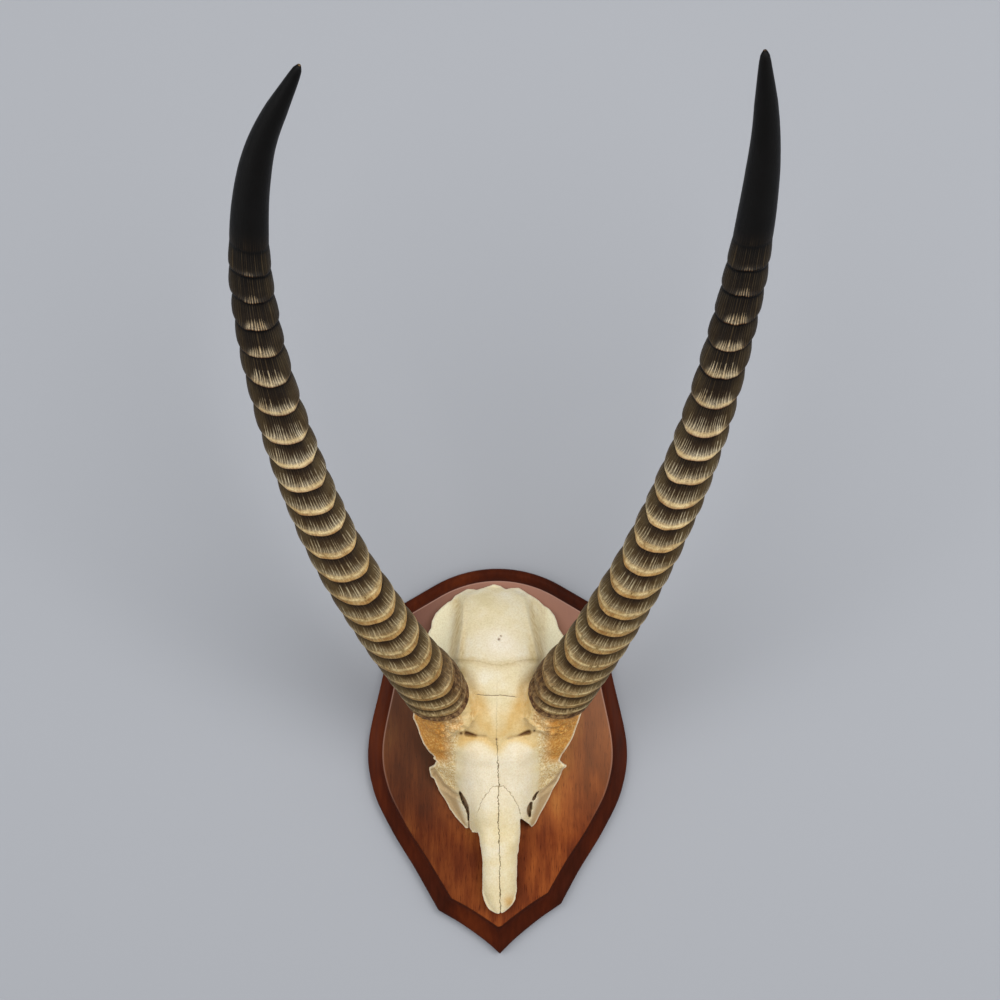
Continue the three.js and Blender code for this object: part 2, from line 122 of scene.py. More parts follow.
# How deep the horn lies under its lips, from one lip to the groove under the next: on the horn's front,
# where the lip is a roll a quarter of the way up, and on its sides, where each ring bulges
RING_FRONT = [(0, 0.3), (0.03, 0.1), (0.08, 0), (0.16, 0), (0.22, 0.1), (0.28, 0.42), (0.34, 0.62),
              (0.5, 0.78), (0.7, 0.9), (0.92, 1), (0.96, 0.9), (0.985, 0.6), (1, 0.3)]
RING_SIDE = [(0, 0.75), (0.04, 0.42), (0.12, 0.14), (0.25, 0), (0.45, 0.03), (0.65, 0.22),
             (0.82, 0.55), (0.94, 0.9), (1, 0.75)]
# By number of ring from the foot: the roll's share of its ring, how gold it is, how far up the hair-fine
# lines run, how much of the horn's width they take, and how strong the pale haze among them is
ROLL_SHARE = [(0, 0.4), (5, 0.42), (8, 0.34), (11, 0.23), (14, 0.18), (17, 0.14), (20, 0.1)]
ROLL_GOLD = [(0, 0.5), (1, 0.85), (3, 1), (13, 1), (15, 0.8), (17, 0.5), (18, 0.25), (19, 0.1), (20, 0)]
HAIR_LENGTH = [(0, 0.7), (5, 0.74), (11, 0.68), (16, 0.62), (18, 0.52), (19, 0.44), (20, 0.4),
               (21, 0.32), (22, 0.2)]
HAIR_SPREAD = [(0, 1.2), (15, 1.1), (16, 0.85), (18, 0.68), (19, 0.56), (20, 0.5), (21, 0.36), (22, 0.24)]
HAIR_HAZE = [(0, 0.3), (5, 0.5), (16, 0.6), (19, 0.5), (21, 0.1)]
HAIR_LINES = 54
# The streak pattern moves on by this much from ring to ring
STREAK_STEP = 9.0
LOW_RIM_RISE = {"left": 12, "right": 9}
LOW_RIM_FADE = 60
# The foot swells towards the midline: how much, where along the horn, and over what length
INNER_SWELL = (3.2, 50, 24)
# Round lengths that serve both horns: for the girth near the foot, where it hardly depends on the length,
# and for spacing the rows, which are then scaled to each horn's own length
FOOT_GIRTH_LENGTH = 680
ROW_SPACING_LENGTH = 690
HORN_ROWS = 620
HORN_SIDES = 144

# Skull plate, ribs across it: height on the board, half of the front as (sideways, height over the board's
# face) from the midline to the rim, and the height of the underside at the same places
SKULL_RIBS = [
    (162, [(0, 8), (5, 7.8), (10, 7.4), (14, 6.8), (17, 6.2), (20, 5.5)], [0, 0, 0, 0, 0, 0]),
    (153, [(0, 24), (15, 22.5), (24, 20.5), (32, 13), (38, 9.5), (43, 8)], [8, 6, 3, 0, 0, 0]),
    (143, [(0, 37), (17, 35.5), (28, 32), (37, 19), (46, 13.5), (54, 11)], [26, 24, 18, 0, 0, 0]),
    (129, [(0, 49), (19, 47.5), (30, 44), (40, 27), (50, 19), (60, 15)], [41, 39, 30, 0, 0, 0]),
    (118, [(0, 56), (20, 54.5), (32, 50.5), (42, 32), (53, 22), (63, 17)], [48, 46, 34, 0, 0, 0]),
    (98, [(0, 66), (18, 65), (34, 60.5), (44, 43), (54, 30), (62, 20)], [54, 50, 36, 0, 0, 0]),
    (71, [(0, 73), (16, 72.5), (26, 68), (42, 62), (56, 50), (64, 30)], [20, 14, 0, 0, 0, 6]),
    (51, [(0, 73), (16, 72), (28, 69), (44, 71), (60, 62), (76, 48)], [0, 0, 0, 8, 40, 42]),
    (31, [(0, 67), (16, 66), (27, 63), (42, 62.5), (56, 56), (70, 44)], [0, 0, 0, 12, 42, 38]),
    (16, [(0, 61.5), (12, 63), (26, 60), (38, 55), (51, 48), (65, 39)], [0, 0, 0, 12, 38, 33]),
    (8, [(0, 59), (12, 60.5), (24, 57), (36, 50), (46, 42), (57, 33)], [20, 16, 8, 6, 24, 26]),
    (-1, [(0, 55), (12, 56), (24, 52), (37, 43), (50, 33), (63, 22)], [34, 30, 20, 8, 12, 14]),
    (-15, [(0, 50), (11, 51), (22, 47.5), (33, 38), (43, 25), (56, 13)], [38, 36, 28, 6, 0, 0]),
    (-31, [(0, 45), (10, 45.5), (20, 42), (31, 31), (38, 19), (48, 8)], [36, 35, 30, 8, 0, 0]),
    (-48, [(0, 41), (9, 40.5), (17, 37), (25, 27), (31, 16), (39, 5)], [33, 32, 29, 14, 0, 0]),
    (-60, [(0, 37), (8, 36.5), (15, 34), (20, 28), (24, 20), (31, 6)], [31, 31, 29, 22, 4, 0]),
    (-67, [(0, 36), (7, 35.6), (12, 34.2), (15.5, 31.5), (18, 28), (19.4, 25)], [31, 31, 30, 27, 24, 21]),
    (-90, [(0, 30), (6, 29.7), (10, 28.3), (13.5, 25.6), (15.6, 22.8), (16.8, 19.6)],
     [25, 25, 24, 22, 19, 17]),
    (-117, [(0, 22), (5, 21.7), (9, 20.4), (12, 18.2), (14, 15.8), (15.4, 13.4)],
     [17, 17, 16, 14, 12, 11]),
    (-131, [(0, 17), (3.5, 16.7), (6, 15.9), (8, 14.8), (9.6, 13.4), (10.6, 12)],
     [12, 12, 11.5, 11, 10, 9.4]),
    (-140.5, [(0, 13.5), (0.5, 13.4), (1, 13.2), (1.5, 13), (2, 12.7), (2.5, 12.4)], [9.5] * 6),
]
# The bone's rim seen from the front, (x, z): scalloped saw cut, cheek side, nose bones and back up
SKULL_RIM = [
    (-65.1, 117.1), (-61.5, 124.8), (-61, 130.7), (-57.5, 137.7), (-51.5, 143.7), (-46.8, 147.8),
    (-43.2, 149.1), (-39.7, 153.8), (-33.8, 157.3), (-27.8, 160), (-23.1, 160.2), (-19.5, 159.1),
    (-13.6, 160.9), (-7.6, 163.3), (-2.9, 164.4), (1.8, 163.3), (7.8, 159.8), (12.5, 160.9),
    (19.6, 161.2), (25.5, 157.9), (31.4, 154), (38.5, 149.3), (43.2, 144.4), (48, 142),
    (52.7, 135.5), (55.1, 129.6), (56.9, 123.7), (61.6, 116.6), (57.8, 104.1), (59.5, 88),
    (68.5, 68.3), (77, 49.8), (74.2, 40.3), (71.3, 32), (68.4, 23.6), (63.8, 16.4), (59.3, 8.7),
    (57, 3.7), (58.8, 1.1), (61.9, -1.7), (64.3, -2.5), (60.8, -6.2), (56.3, -17.5), (51.5, -26.1),
    (46.9, -35.8), (41, -46.7), (35, -58.6), (31.4, -61.4), (28.7, -56.8), (23.5, -51.7),
    (20.9, -50), (21, -63.5), (19.5, -80), (18.3, -92.2), (17.8, -110.5), (17.9, -120.2),
    (16.2, -128), (13.9, -132.6), (10.8, -136), (6.8, -138.8), (3.5, -140.4), (2.4, -138.6),
    (1.6, -141), (-0.8, -140.8), (-4.8, -139.2), (-8.6, -136), (-10.9, -132.6), (-12.6, -128),
    (-14.4, -120.2), (-14.1, -110.5), (-14, -91.7), (-15.2, -79.5), (-17.6, -63.7), (-19.4, -64.5),
    (-22.6, -65), (-24, -64.4), (-25.7, -61.2), (-26.5, -59.4), (-27.1, -62.8), (-28.9, -61.8),
    (-29.8, -62.4), (-38.5, -52.7), (-44.5, -44.4), (-49.2, -35.8), (-55, -26.1), (-58.9, -15.7),
    (-62, -13.7), (-63.6, -5), (-57.5, -1.3), (-58.3, 0.1), (-55.9, 2.3), (-59.8, 5), (-58, 6.3),
    (-63.8, 12.6), (-68.3, 20), (-71.7, 28.5), (-74, 36.8), (-77.4, 43.9), (-76.8, 48.6),
    (-67.6, 68.3), (-58.5, 88.1), (-56.9, 104.2),
]
# Seams and edges on the bone, (x, z), left to right or downwards
FOREHEAD_SEAM = [(-44.4, 96.6), (-37.8, 97.7), (-19.5, 97.5), (-7.7, 94.4), (2.3, 93.5), (12.3, 94.8),
                 (22.3, 97.9), (39.7, 97.9)]
CRACK = [(-17.6, 67.4), (-14.3, 66.8), (-2.8, 66.3), (2.3, 66.6), (15.7, 65.4)]
MIDDLE_SEAM = [(-0.4, 95), (-0.4, 62.3), (-0.8, 25.9), (0.1, 12.2), (0.7, -5.8), (1.3, -15.7),
               (1.3, -24.2), (0.7, -30.2), (1.3, -42.2), (0.6, -54.4), (1.6, -64.1), (1.3, -78.6),
               (2.4, -90.8), (1.8, -109.2), (2.7, -121.5), (2.4, -145)]
NOSE_SEAM = [(-17.6, -42), (-15.7, -36.5), (-13.3, -30.3), (-8.7, -24.1), (-4, -18.1), (0.7, -18.8),
             (5.3, -18.1), (10, -22.9), (14.6, -29.1), (19.4, -37.9), (21.1, -45.6)]
BROW = [(-34, 22), (-27.6, 27), (-19.8, 28.6), (-12, 27.5), (-6, 23), (-1.5, 17.3), (0.5, 15.5),
        (2.9, 18.2), (7.8, 25), (13.7, 27.6), (21.6, 27), (27.5, 25), (33, 21)]
TEMPLE_RIDGES = [[(-34, 152), (-31.5, 147), (-31.4, 130), (-35, 111), (-36.7, 100), (-37, 94)],
                 [(24, 153), (25.5, 147), (28, 133), (32.5, 115), (36, 101), (37, 94)]]
CHEEK_LINES = [[(-59.7, -6.7), (-52.4, -20.4), (-42.1, -28.2), (-35.5, -31.2)],
               [(60.6, -6.7), (53.3, -18.5), (44, -25.4), (37.4, -29.5)]]
# Slits before the eye sockets, (x, z, half width)
TEAR_SLITS = [
    [(-34.6, -26.8, 0.9), (-32.6, -31, 1.9), (-30.4, -36, 2.2), (-28.6, -40.5, 1.7), (-27.2, -46, 0.9),
     (-26.8, -54, 0.5), (-26.6, -63, 0.6)],
    [(37.4, -26.2, 0.6), (35.2, -28.6, 1.1), (33.2, -32.6, 1.3)],
    [(30.9, -36, 1), (29.6, -40, 1.9), (29, -45, 1.7), (29.8, -49.6, 0.8)],
]
SLIT_DEPTH = 8.5
# Grooves along the brow, the pits at their outer ends as (x, z, half width), and small holes
BROW_GROOVES = [[(-28.6, 31.6), (-19.7, 29.4), (-10.9, 28.6)], [(28.7, 32.4), (20.6, 29.8), (9.8, 26.4)]]
BROW_PITS = [[(-28.2, 31, 1.9), (-25.4, 30.5, 1.4), (-22, 29.6, 0.7), (-19.6, 29, 0.2)],
             [(28.6, 32.2, 1.9), (25.8, 31.6, 1.4), (22.4, 30.4, 0.7), (19.8, 29.4, 0.2)]]
SMALL_PITS = [(1.3, 116.3, 0.9), (3.1, 119.2, 0.7), (-33.2, 31.2, 1.2), (-0.8, 25.9, 0.8),
              (33.5, 33.5, 0.9)]
# The horn cores' stubs: their radius, how softly they join the bone, and how far up the horn's room is cut
PEDICLE_RADIUS = 24
STUB_BLEND = 5
HORN_ROOM = 120
# The block of space that holds the bone, sideways, over the board and up, and the grid's step in it
SKULL_SPACE = {"x": (-84, 84.01), "h": (-3, 105), "z": (-146, 168)}
VOXEL = 1.24


def smooth_through(at, values, where):
    """Monotone cubic through stations: never swings past them. values may have more columns."""
    at = np.asarray(at, float)
    values = np.asarray(values, float)
    width = np.diff(at)
    slopes = np.diff(values, axis=0) / width.reshape(-1, *([1] * (values.ndim - 1)))
    tangents = np.zeros_like(values)
    tangents[0], tangents[-1] = slopes[0], slopes[-1]
    before, after = slopes[:-1], slopes[1:]
    same_way = before * after > 0
    total = np.where(same_way, before + after, 1)
    tangents[1:-1] = np.where(same_way, 2 * before * after / total, 0)
    i = np.clip(np.searchsorted(at, where, side="right") - 1, 0, len(at) - 2)
    h = width[i]
    t = np.clip((where - at[i]) / h, 0, 1)
    shape = t.shape + (1,) * (values.ndim - 1)
    t, h = t.reshape(shape), h.reshape(shape)
    return ((2 * t**3 - 3 * t**2 + 1) * values[i] + (t**3 - 2 * t**2 + t) * h * tangents[i]
            + (3 * t**2 - 2 * t**3) * values[i + 1] + (t**3 - t**2) * h * tangents[i + 1])


def stations(pairs, where):
    """Straight-line value between (at, value) pairs."""
    at, values = zip(*pairs)
    return np.interp(where, at, values)


def catmull(points, steps):
    """A curve through points, with the given number of steps between neighbours."""
    p = np.asarray(points, float)
    p = np.vstack([2 * p[0] - p[1], p, 2 * p[-1] - p[-2]])
    t = np.linspace(0, 1, steps, endpoint=False)[:, None]
    made = []
    for a, b, c, d in zip(p[:-3], p[1:-2], p[2:-1], p[3:]):
        square, cube = 2 * a - 5 * b + 4 * c - d, 3 * b - a - 3 * c + d
        made.append(0.5 * (2 * b + (c - a) * t + square * t**2 + cube * t**3))
    return np.vstack(made + [p[-2][None]])


def value_noise(points, scale, seed):
    """Smooth noise in about -1..1 at points, with lumps about scale across."""
    table = np.random.default_rng(seed).uniform(-1, 1, 4096)
    q = points / scale
    cell = np.floor(q).astype(np.int64)
    f = q - cell
    f = f * f * (3 - 2 * f)
    total = np.zeros(points.shape[:-1])
    for dx in (0, 1):
        for dy in (0, 1):
            for dz in (0, 1):
                c = cell + np.array([dx, dy, dz])
                key = (c[..., 0] * 73856093) ^ (c[..., 1] * 19349663) ^ (c[..., 2] * 83492791)
                weight = (np.where(dx, f[..., 0], 1 - f[..., 0]) * np.where(dy, f[..., 1], 1 - f[..., 1])
                          * np.where(dz, f[..., 2], 1 - f[..., 2]))
                total += weight * table[key & 4095]
    return total


def from_line(x, z, line):
    """Distance from a polyline in the board's plane, positive on its left-hand side."""
    line = np.asarray(line, float)
    nearest = np.full(x.shape, 1e9)
    signed = np.zeros(x.shape)
    for (ax, az), (bx, bz) in zip(line[:-1], line[1:]):
        dx, dz = bx - ax, bz - az
        t = np.clip(((x - ax) * dx + (z - az) * dz) / (dx * dx + dz * dz), 0, 1)
        away = np.hypot(x - ax - t * dx, z - az - t * dz)
        side = np.where(dx * (z - az) - dz * (x - ax) >= 0, 1, -1)
        closer = away < nearest
        nearest = np.where(closer, away, nearest)
        signed = np.where(closer, away * side, signed)
    return signed


def above_line(x, z, line):
    """Distance from a line that runs left to right, positive above it."""
    across, up = zip(*line)
    return np.abs(from_line(x, z, line)) * np.sign(z - np.interp(x, across, up))


def from_slit(x, z, slit):
    """Distance from the edge of a slit of changing width, negative in it."""
    px, pz, half = catmull(slit, 8).T
    away = np.hypot(x[..., None] - px, z[..., None] - pz) - half
    return away.min(-1)


def inside_polygon(x, z, polygon):
    """Distance from a closed outline, negative inside it."""
    polygon = np.asarray(polygon, float)
    ends = np.roll(polygon, -1, axis=0)
    within = np.zeros(x.shape, bool)
    for (ax, az), (bx, bz) in zip(polygon, ends):
        if az != bz:
            crossing = ((az > z) != (bz > z)) & (x < (bx - ax) * (z - az) / (bz - az) + ax)
            within ^= crossing
    away = np.abs(from_line(x, z, np.vstack([polygon, polygon[:1]])))
    return np.where(within, -away, away)


def hill(x, z, cx, cz, wide, high):
    """A soft round hill, 1 at its middle."""
    return np.exp(-((x - cx) / wide) ** 2 - ((z - cz) / high) ** 2)


def fade(value, start, end):
    """0 up to start, 1 from end on, smooth between; start may be the larger."""
    t = np.clip((value - start) / (end - start), 0, 1)
    return t * t * (3 - 2 * t)


def make_object(name, points, faces, material, smooth=True):
    """A mesh object from points in millimetres and faces."""
    mesh = bpy.data.meshes.new(name)
    mesh.from_pydata((np.asarray(points) * MM).tolist(), [], [tuple(f) for f in faces])
    mesh.validate()
    mesh.polygons.foreach_set("use_smooth", [smooth] * len(mesh.polygons))
    mesh.materials.append(material)
    thing = bpy.data.objects.new(name, mesh)
    bpy.context.scene.collection.objects.link(thing)
    return thing


def give_values(thing, name, values):
    """A number on each vertex, for the material to read."""
    layer = thing.data.attributes.new(name, "FLOAT", "POINT")
    layer.data.foreach_set("value", np.asarray(values, np.float32).ravel())


def give_vectors(thing, name, values):
    """A vector on each vertex, for the material to read."""
    layer = thing.data.attributes.new(name, "FLOAT_VECTOR", "POINT")
    layer.data.foreach_set("vector", np.asarray(values, np.float32).ravel())


# Materials

def hex_colour(code):
    """sRGB hex to the linear colour that shaders take."""
    parts = [int(code[i:i + 2], 16) / 255 for i in (1, 3, 5)]
    return [c / 12.92 if c <= 0.04045 else ((c + 0.055) / 1.055) ** 2.4 for c in parts] + [1]


def feed(tree, socket, value):
    """Gives a socket a plain value, a hex colour, or what another node puts out."""
    if isinstance(value, bpy.types.Node):
        value = next(output for output in value.outputs if output.enabled)
    if isinstance(value, bpy.types.NodeSocket):
        tree.links.new(value, socket)
    elif isinstance(value, str):
        socket.default_value = hex_colour(value)
    else:
        socket.default_value = value


def put(tree, kind, settings=None, sockets=None):
    """Adds a shader node. Settings are its properties; sockets go by name, or by place among those
    in use."""
    node = tree.nodes.new("ShaderNode" + kind)
    for name, value in (settings or {}).items():
        setattr(node, name, value)
    for key, value in (sockets or {}).items():
        in_use = [socket for socket in node.inputs if socket.enabled]
        feed(tree, in_use[key] if isinstance(key, int) else node.inputs[key], value)
    return node


def mixed(tree, amount, under, over, how="MIX"):
    """One colour laid over another."""
    return put(tree, "Mix", {"data_type": "RGBA", "blend_type": how}, {0: amount, 1: under, 2: over})


def times(tree, a, b):
    return put(tree, "Math", {"operation": "MULTIPLY"}, {0: a, 1: b})


def spread(tree, value, low, high, start=0.0, end=1.0):
    """The value's range low to high moved to start to end."""
    return put(tree, "MapRange", None, {0: value, 1: low, 2: high, 3: start, 4: end})


def on_mesh(tree, name):
    """A number kept on the mesh."""
    return put(tree, "Attribute", {"attribute_name": name}).outputs["Fac"]


def noise(tree, where, scale, detail=3, roughness=0.5):
    settings = {"Vector": where, "Scale": scale, "Detail": detail, "Roughness": roughness}
    return put(tree, "TexNoise", None, settings).outputs["Fac"]


def stretched(tree, where, scale):
    return put(tree, "Mapping", None, {"Vector": where, "Scale": scale})


def ramp(tree, factor, stops):
    """Colours between stops of (place, hex)."""
    node = put(tree, "ValToRGB", None, {"Fac": factor})
    band = node.color_ramp.elements
    while len(band) < len(stops):
        band.new(0.5)
    for element, (place, code) in zip(band, stops):
        element.position = place
        element.color = hex_colour(code)
    return node


def add_bump(tree, surface, strength, distance, height):
    """Small bumps, distance in metres at their highest."""
    settings = {"Strength": strength, "Distance": distance, "Height": height}
    feed(tree, surface["Normal"], put(tree, "Bump", None, settings))


def new_material(name):
    material = bpy.data.materials.new(name)
    material.use_nodes = True
    tree = material.node_tree
    tree.nodes.clear()
    shader = put(tree, "BsdfPrincipled")
    put(tree, "OutputMaterial", None, {"Surface": shader})
    where = put(tree, "TexCoord").outputs["Object"]
    return material, tree, shader.inputs, where


def plain_backdrop():
    """Matt wall paint, seen from the room side only, so that views from behind look through it."""
    material, tree, surface, where = new_material("matt_wall_paint")
    feed(tree, surface["Base Color"], "#A9ACB2")
    feed(tree, surface["Roughness"], 0.9)
    behind = put(tree, "NewGeometry").outputs["Backfacing"]
    clear = put(tree, "BsdfTransparent")
    seen = put(tree, "MixShader", None, {0: behind, 1: tree.nodes["Principled BSDF"], 2: clear})
    feed(tree, tree.nodes["Material Output"].inputs["Surface"], seen)
    return material


def stained_wood():
    """Close-grained hardwood, stained red-brown and varnished: long streaks up the board, a dull
    shine, a darker routed edge, a painted sheen that leaves the board paler and pinker towards its top,
    painted shade towards its left, and a painted highlight along the face's rim."""
    material, tree, surface, where = new_material("stained_varnished_hardwood")
    # Streaks about 3 mm wide and 35 mm long, up the board
    streaks = noise(tree, stretched(tree, where, (1, 1, 0.085)), 330, 5, 0.5)
    # Soft patches of darker and lighter growth, 45 mm wide and twice as long
    bands = noise(tree, stretched(tree, where, (1, 1, 0.45)), 22, 3, 0.5)
    # Pores: dark dashes 0.7 mm wide and 10 mm long
    pores = spread(tree, noise(tree, stretched(tree, where, (1, 1, 0.07)), 1500, 2), 0.56, 0.72)
    growth = put(tree, "Mix", {"data_type": "FLOAT"}, {0: 0.8, 1: streaks, 2: bands})
    face = ramp(tree, growth, [(0.36, "#572612"), (0.45, "#743516"), (0.55, "#985022"), (0.68, "#BE7A38")])
    colour = mixed(tree, pores, face, "#9A7A64", "MULTIPLY")
    place = put(tree, "SeparateXYZ", None, {"Vector": where})
    # Painted reflection of the varnish's sheen: the board paler and pinker towards its top
    height_on_board = spread(tree, place.outputs["Z"], -0.02, 0.13)
    painted_sheen = ramp(tree, height_on_board, [(0, "#94704E"), (0.5, "#A0785E"), (1, "#A87C6A")])
    colour = mixed(tree, spread(tree, place.outputs["Z"], -0.07, 0.13, 0, 0.88), colour, painted_sheen)
    # Painted shade of the left horn and the skull: the board darker and greyer towards its left
    colour = mixed(tree, spread(tree, place.outputs["X"], 0, -0.09, 0, 0.85), colour, "#948A90", "MULTIPLY")
    # The routed edge darker and redder
    routed_darker = ramp(tree, growth, [(0.36, "#331105"), (0.5, "#451806"), (0.66, "#5C250A")])
    colour = mixed(tree, on_mesh(tree, "routed"), colour, routed_darker)
    # Painted highlight along the face's rim, stronger towards the top
    paler_share = times(tree, on_mesh(tree, "arris"), spread(tree, place.outputs["Z"], -0.06, 0.06, 0, 0.65))
    colour = mixed(tree, paler_share, colour, "#B08A7A")
    feed(tree, surface["Base Color"], colour)
    feed(tree, surface["Roughness"], spread(tree, streaks, 0.3, 0.7, 0.34, 0.5))
    height = put(tree, "Math", {"operation": "SUBTRACT"}, {0: streaks, 1: pores})
    add_bump(tree, surface, 0.25, 0.0003, height)
    surface["Specular IOR Level"].default_value = 0.08
    return material


def hair_lines(tree, streak_place):
    """Lines about 2.6 mm apart that run up the horn, and a number of its own for each line on each ring."""
    place = put(tree, "SeparateXYZ", None, {"Vector": streak_place})
    angle = put(tree, "Math", {"operation": "ARCTAN2"}, {0: place.outputs["Y"], 1: place.outputs["X"]})
    wander = spread(tree, noise(tree, streak_place, 0.14, 2), 0.3, 0.7, -0.5, 0.5)
    per_radian = HAIR_LINES / (2 * math.pi)
    count = put(tree, "Math", {"operation": "MULTIPLY_ADD"}, {0: angle, 1: per_radian, 2: wander})
    between = put(tree, "Math", {"operation": "FRACT"}, {0: count})
    away = put(tree, "Math", {"operation": "ABSOLUTE"}, {0: spread(tree, between, 0, 1, -1, 1)})
    whole = put(tree, "Math", {"operation": "FLOOR"}, {0: count})
    line_and_ring = put(tree, "CombineXYZ", None, {"X": whole, "Y": place.outputs["Z"]})
    own = put(tree, "TexWhiteNoise", {"noise_dimensions": "2D"}, {"Vector": line_and_ring}).outputs["Value"]
    return spread(tree, away, 0.14, 0.45, 1, 0), own


def ringed_horn():
    """Keratin horn: golden rolls low down, worn paler in places and painted brighter on the front as
    light, hair-fine pale lines fading up into valleys painted darker as shade towards each groove and on
    the sides, painted highlights along the rolls and on the rings' sides, painted shade under each roll,
    darker further up, and a smooth near-black tip with a soft shine."""
    material, tree, surface, where = new_material("ringed_keratin_horn")
    grain = put(tree, "Attribute", {"attribute_name": "horn_grain"}).outputs["Vector"]
    streak_place = put(tree, "Attribute", {"attribute_name": "ring_streak"}).outputs["Vector"]
    to_tip = on_mesh(tree, "to_tip")
    roll = on_mesh(tree, "ring_roll")
    hairs, own = hair_lines(tree, streak_place)
    # Fine streaks all over the horn, the same way as the hair lines, 0.6 mm wide and 12 mm long, with
    # patches about 3 mm across and clouds of 11 mm
    fine = noise(tree, stretched(tree, grain, (1, 1, 0.05)), 1.6, 3, 0.65)
    cloud = noise(tree, grain, 0.09, 4)
    patches = noise(tree, grain, 0.3, 3)
    valley = ramp(tree, to_tip, [(0, "#75603C"), (0.15, "#675232"), (0.35, "#4C3B25"), (0.5, "#372A1C"),
                                 (0.6, "#241C14"), (0.7, "#1A140F"), (0.78, "#060505")])
    deep = ramp(tree, to_tip, [(0, "#46341E"), (0.3, "#2E2115"), (0.5, "#21180F"), (0.62, "#17110C"),
                               (0.77, "#060505")])
    pale = ramp(tree, to_tip, [(0, "#B8A47A"), (0.2, "#CDBF9A"), (0.5, "#DCCFB0"), (0.66, "#DCC8A4"),
                               (0.73, "#8C7A60")])
    gold = ramp(tree, to_tip, [(0, "#A08452"), (0.08, "#C09E62"), (0.3, "#E6BC78"), (0.5, "#DCBE94"),
                               (0.62, "#8A7454"), (0.76, "#14100E")])
    olive = ramp(tree, to_tip, [(0, "#806A44"), (0.2, "#A08858"), (0.35, "#C8A874"), (0.5, "#CEB28C"),
                                (0.62, "#8A7454")])
    # Painted shade: the valleys darker towards the groove under each lip and on the horn's sides
    colour = mixed(tree, on_mesh(tree, "ring_painted_shade"), valley, deep)
    # Painted highlight on the rings' bulges at the horn's sides
    colour = mixed(tree, on_mesh(tree, "ring_side_highlight"), colour, "#7C6A46")
    haze = times(tree, on_mesh(tree, "ring_haze"), spread(tree, fine, 0.3, 0.65, 0.1, 0.75))
    colour = mixed(tree, haze, colour, pale)
    longer = spread(tree, own, 0, 1, -0.35, 0.35)
    reach = put(tree, "Math", {"operation": "ADD"}, {0: longer, 1: on_mesh(tree, "ring_pale")})
    faint = times(tree, hairs, times(tree, on_mesh(tree, "ring_faint"), own))
    colour = mixed(tree, faint, colour, "#84704E")
    shown = times(tree, hairs, spread(tree, reach, 0.05, 0.7))
    shown = times(tree, shown, spread(tree, patches, 0.35, 0.55, 0.45, 1))
    colour = mixed(tree, shown, colour, pale)
    # Gold on the rolls, worn paler in places; its mask also paints them brighter on the horn's front as
    # light
    paler_share = times(tree, roll, spread(tree, fine, 0.3, 0.6, 0.75, 1))
    colour = mixed(tree, paler_share, colour, mixed(tree, on_mesh(tree, "ring_crest"), olive, gold))
    orange = spread(tree, patches, 0.46, 0.62, 0, 0.55)
    colour = mixed(tree, times(tree, roll, orange), colour, "#A8743C")
    glint = times(tree, on_mesh(tree, "ring_line"), spread(tree, patches, 0.36, 0.5))
    colour = mixed(tree, glint, colour, "#F0DCA8")
    # Painted shade along each roll's underside
    colour = mixed(tree, on_mesh(tree, "ring_underside_shade"), colour, "#9C6430", "MULTIPLY")
    colour = mixed(tree, on_mesh(tree, "ring_shadow"), colour, "#33261C", "MULTIPLY")
    mottled = ramp(tree, patches, [(0.38, "#54392A"), (0.5, "#7C5A3C"), (0.62, "#A4845A")])
    colour = mixed(tree, on_mesh(tree, "foot"), colour, mottled)
    colour = mixed(tree, 1.0, colour, ramp(tree, cloud, [(0.3, "#D0C4B2"), (0.65, "#FFFFFF")]), "MULTIPLY")
    colour = mixed(tree, 0.5, colour, ramp(tree, fine, [(0.35, "#A89A88"), (0.6, "#FFFFFF")]), "MULTIPLY")
    feed(tree, surface["Base Color"], colour)
    feed(tree, surface["Roughness"], spread(tree, fine, 0.3, 0.7, 0.55, 0.42))
    surface["Specular IOR Level"].default_value = 0.14
    ridges = times(tree, hairs, on_mesh(tree, "ring_hairs"))
    height = put(tree, "Math", {"operation": "ADD"}, {0: times(tree, ridges, 1.4), 1: fine})
    add_bump(tree, surface, 0.6, 0.0005, height)
    return material


def seam_line(tree, name, wide, wiggle):
    """A thin ragged line where a signed distance on the mesh is near nothing."""
    shifted = put(tree, "Math", {"operation": "ADD"}, {0: on_mesh(tree, name), 1: wiggle})
    away = put(tree, "Math", {"operation": "ABSOLUTE"}, {0: shifted})
    return spread(tree, away, wide * 0.4, wide, 1, 0)


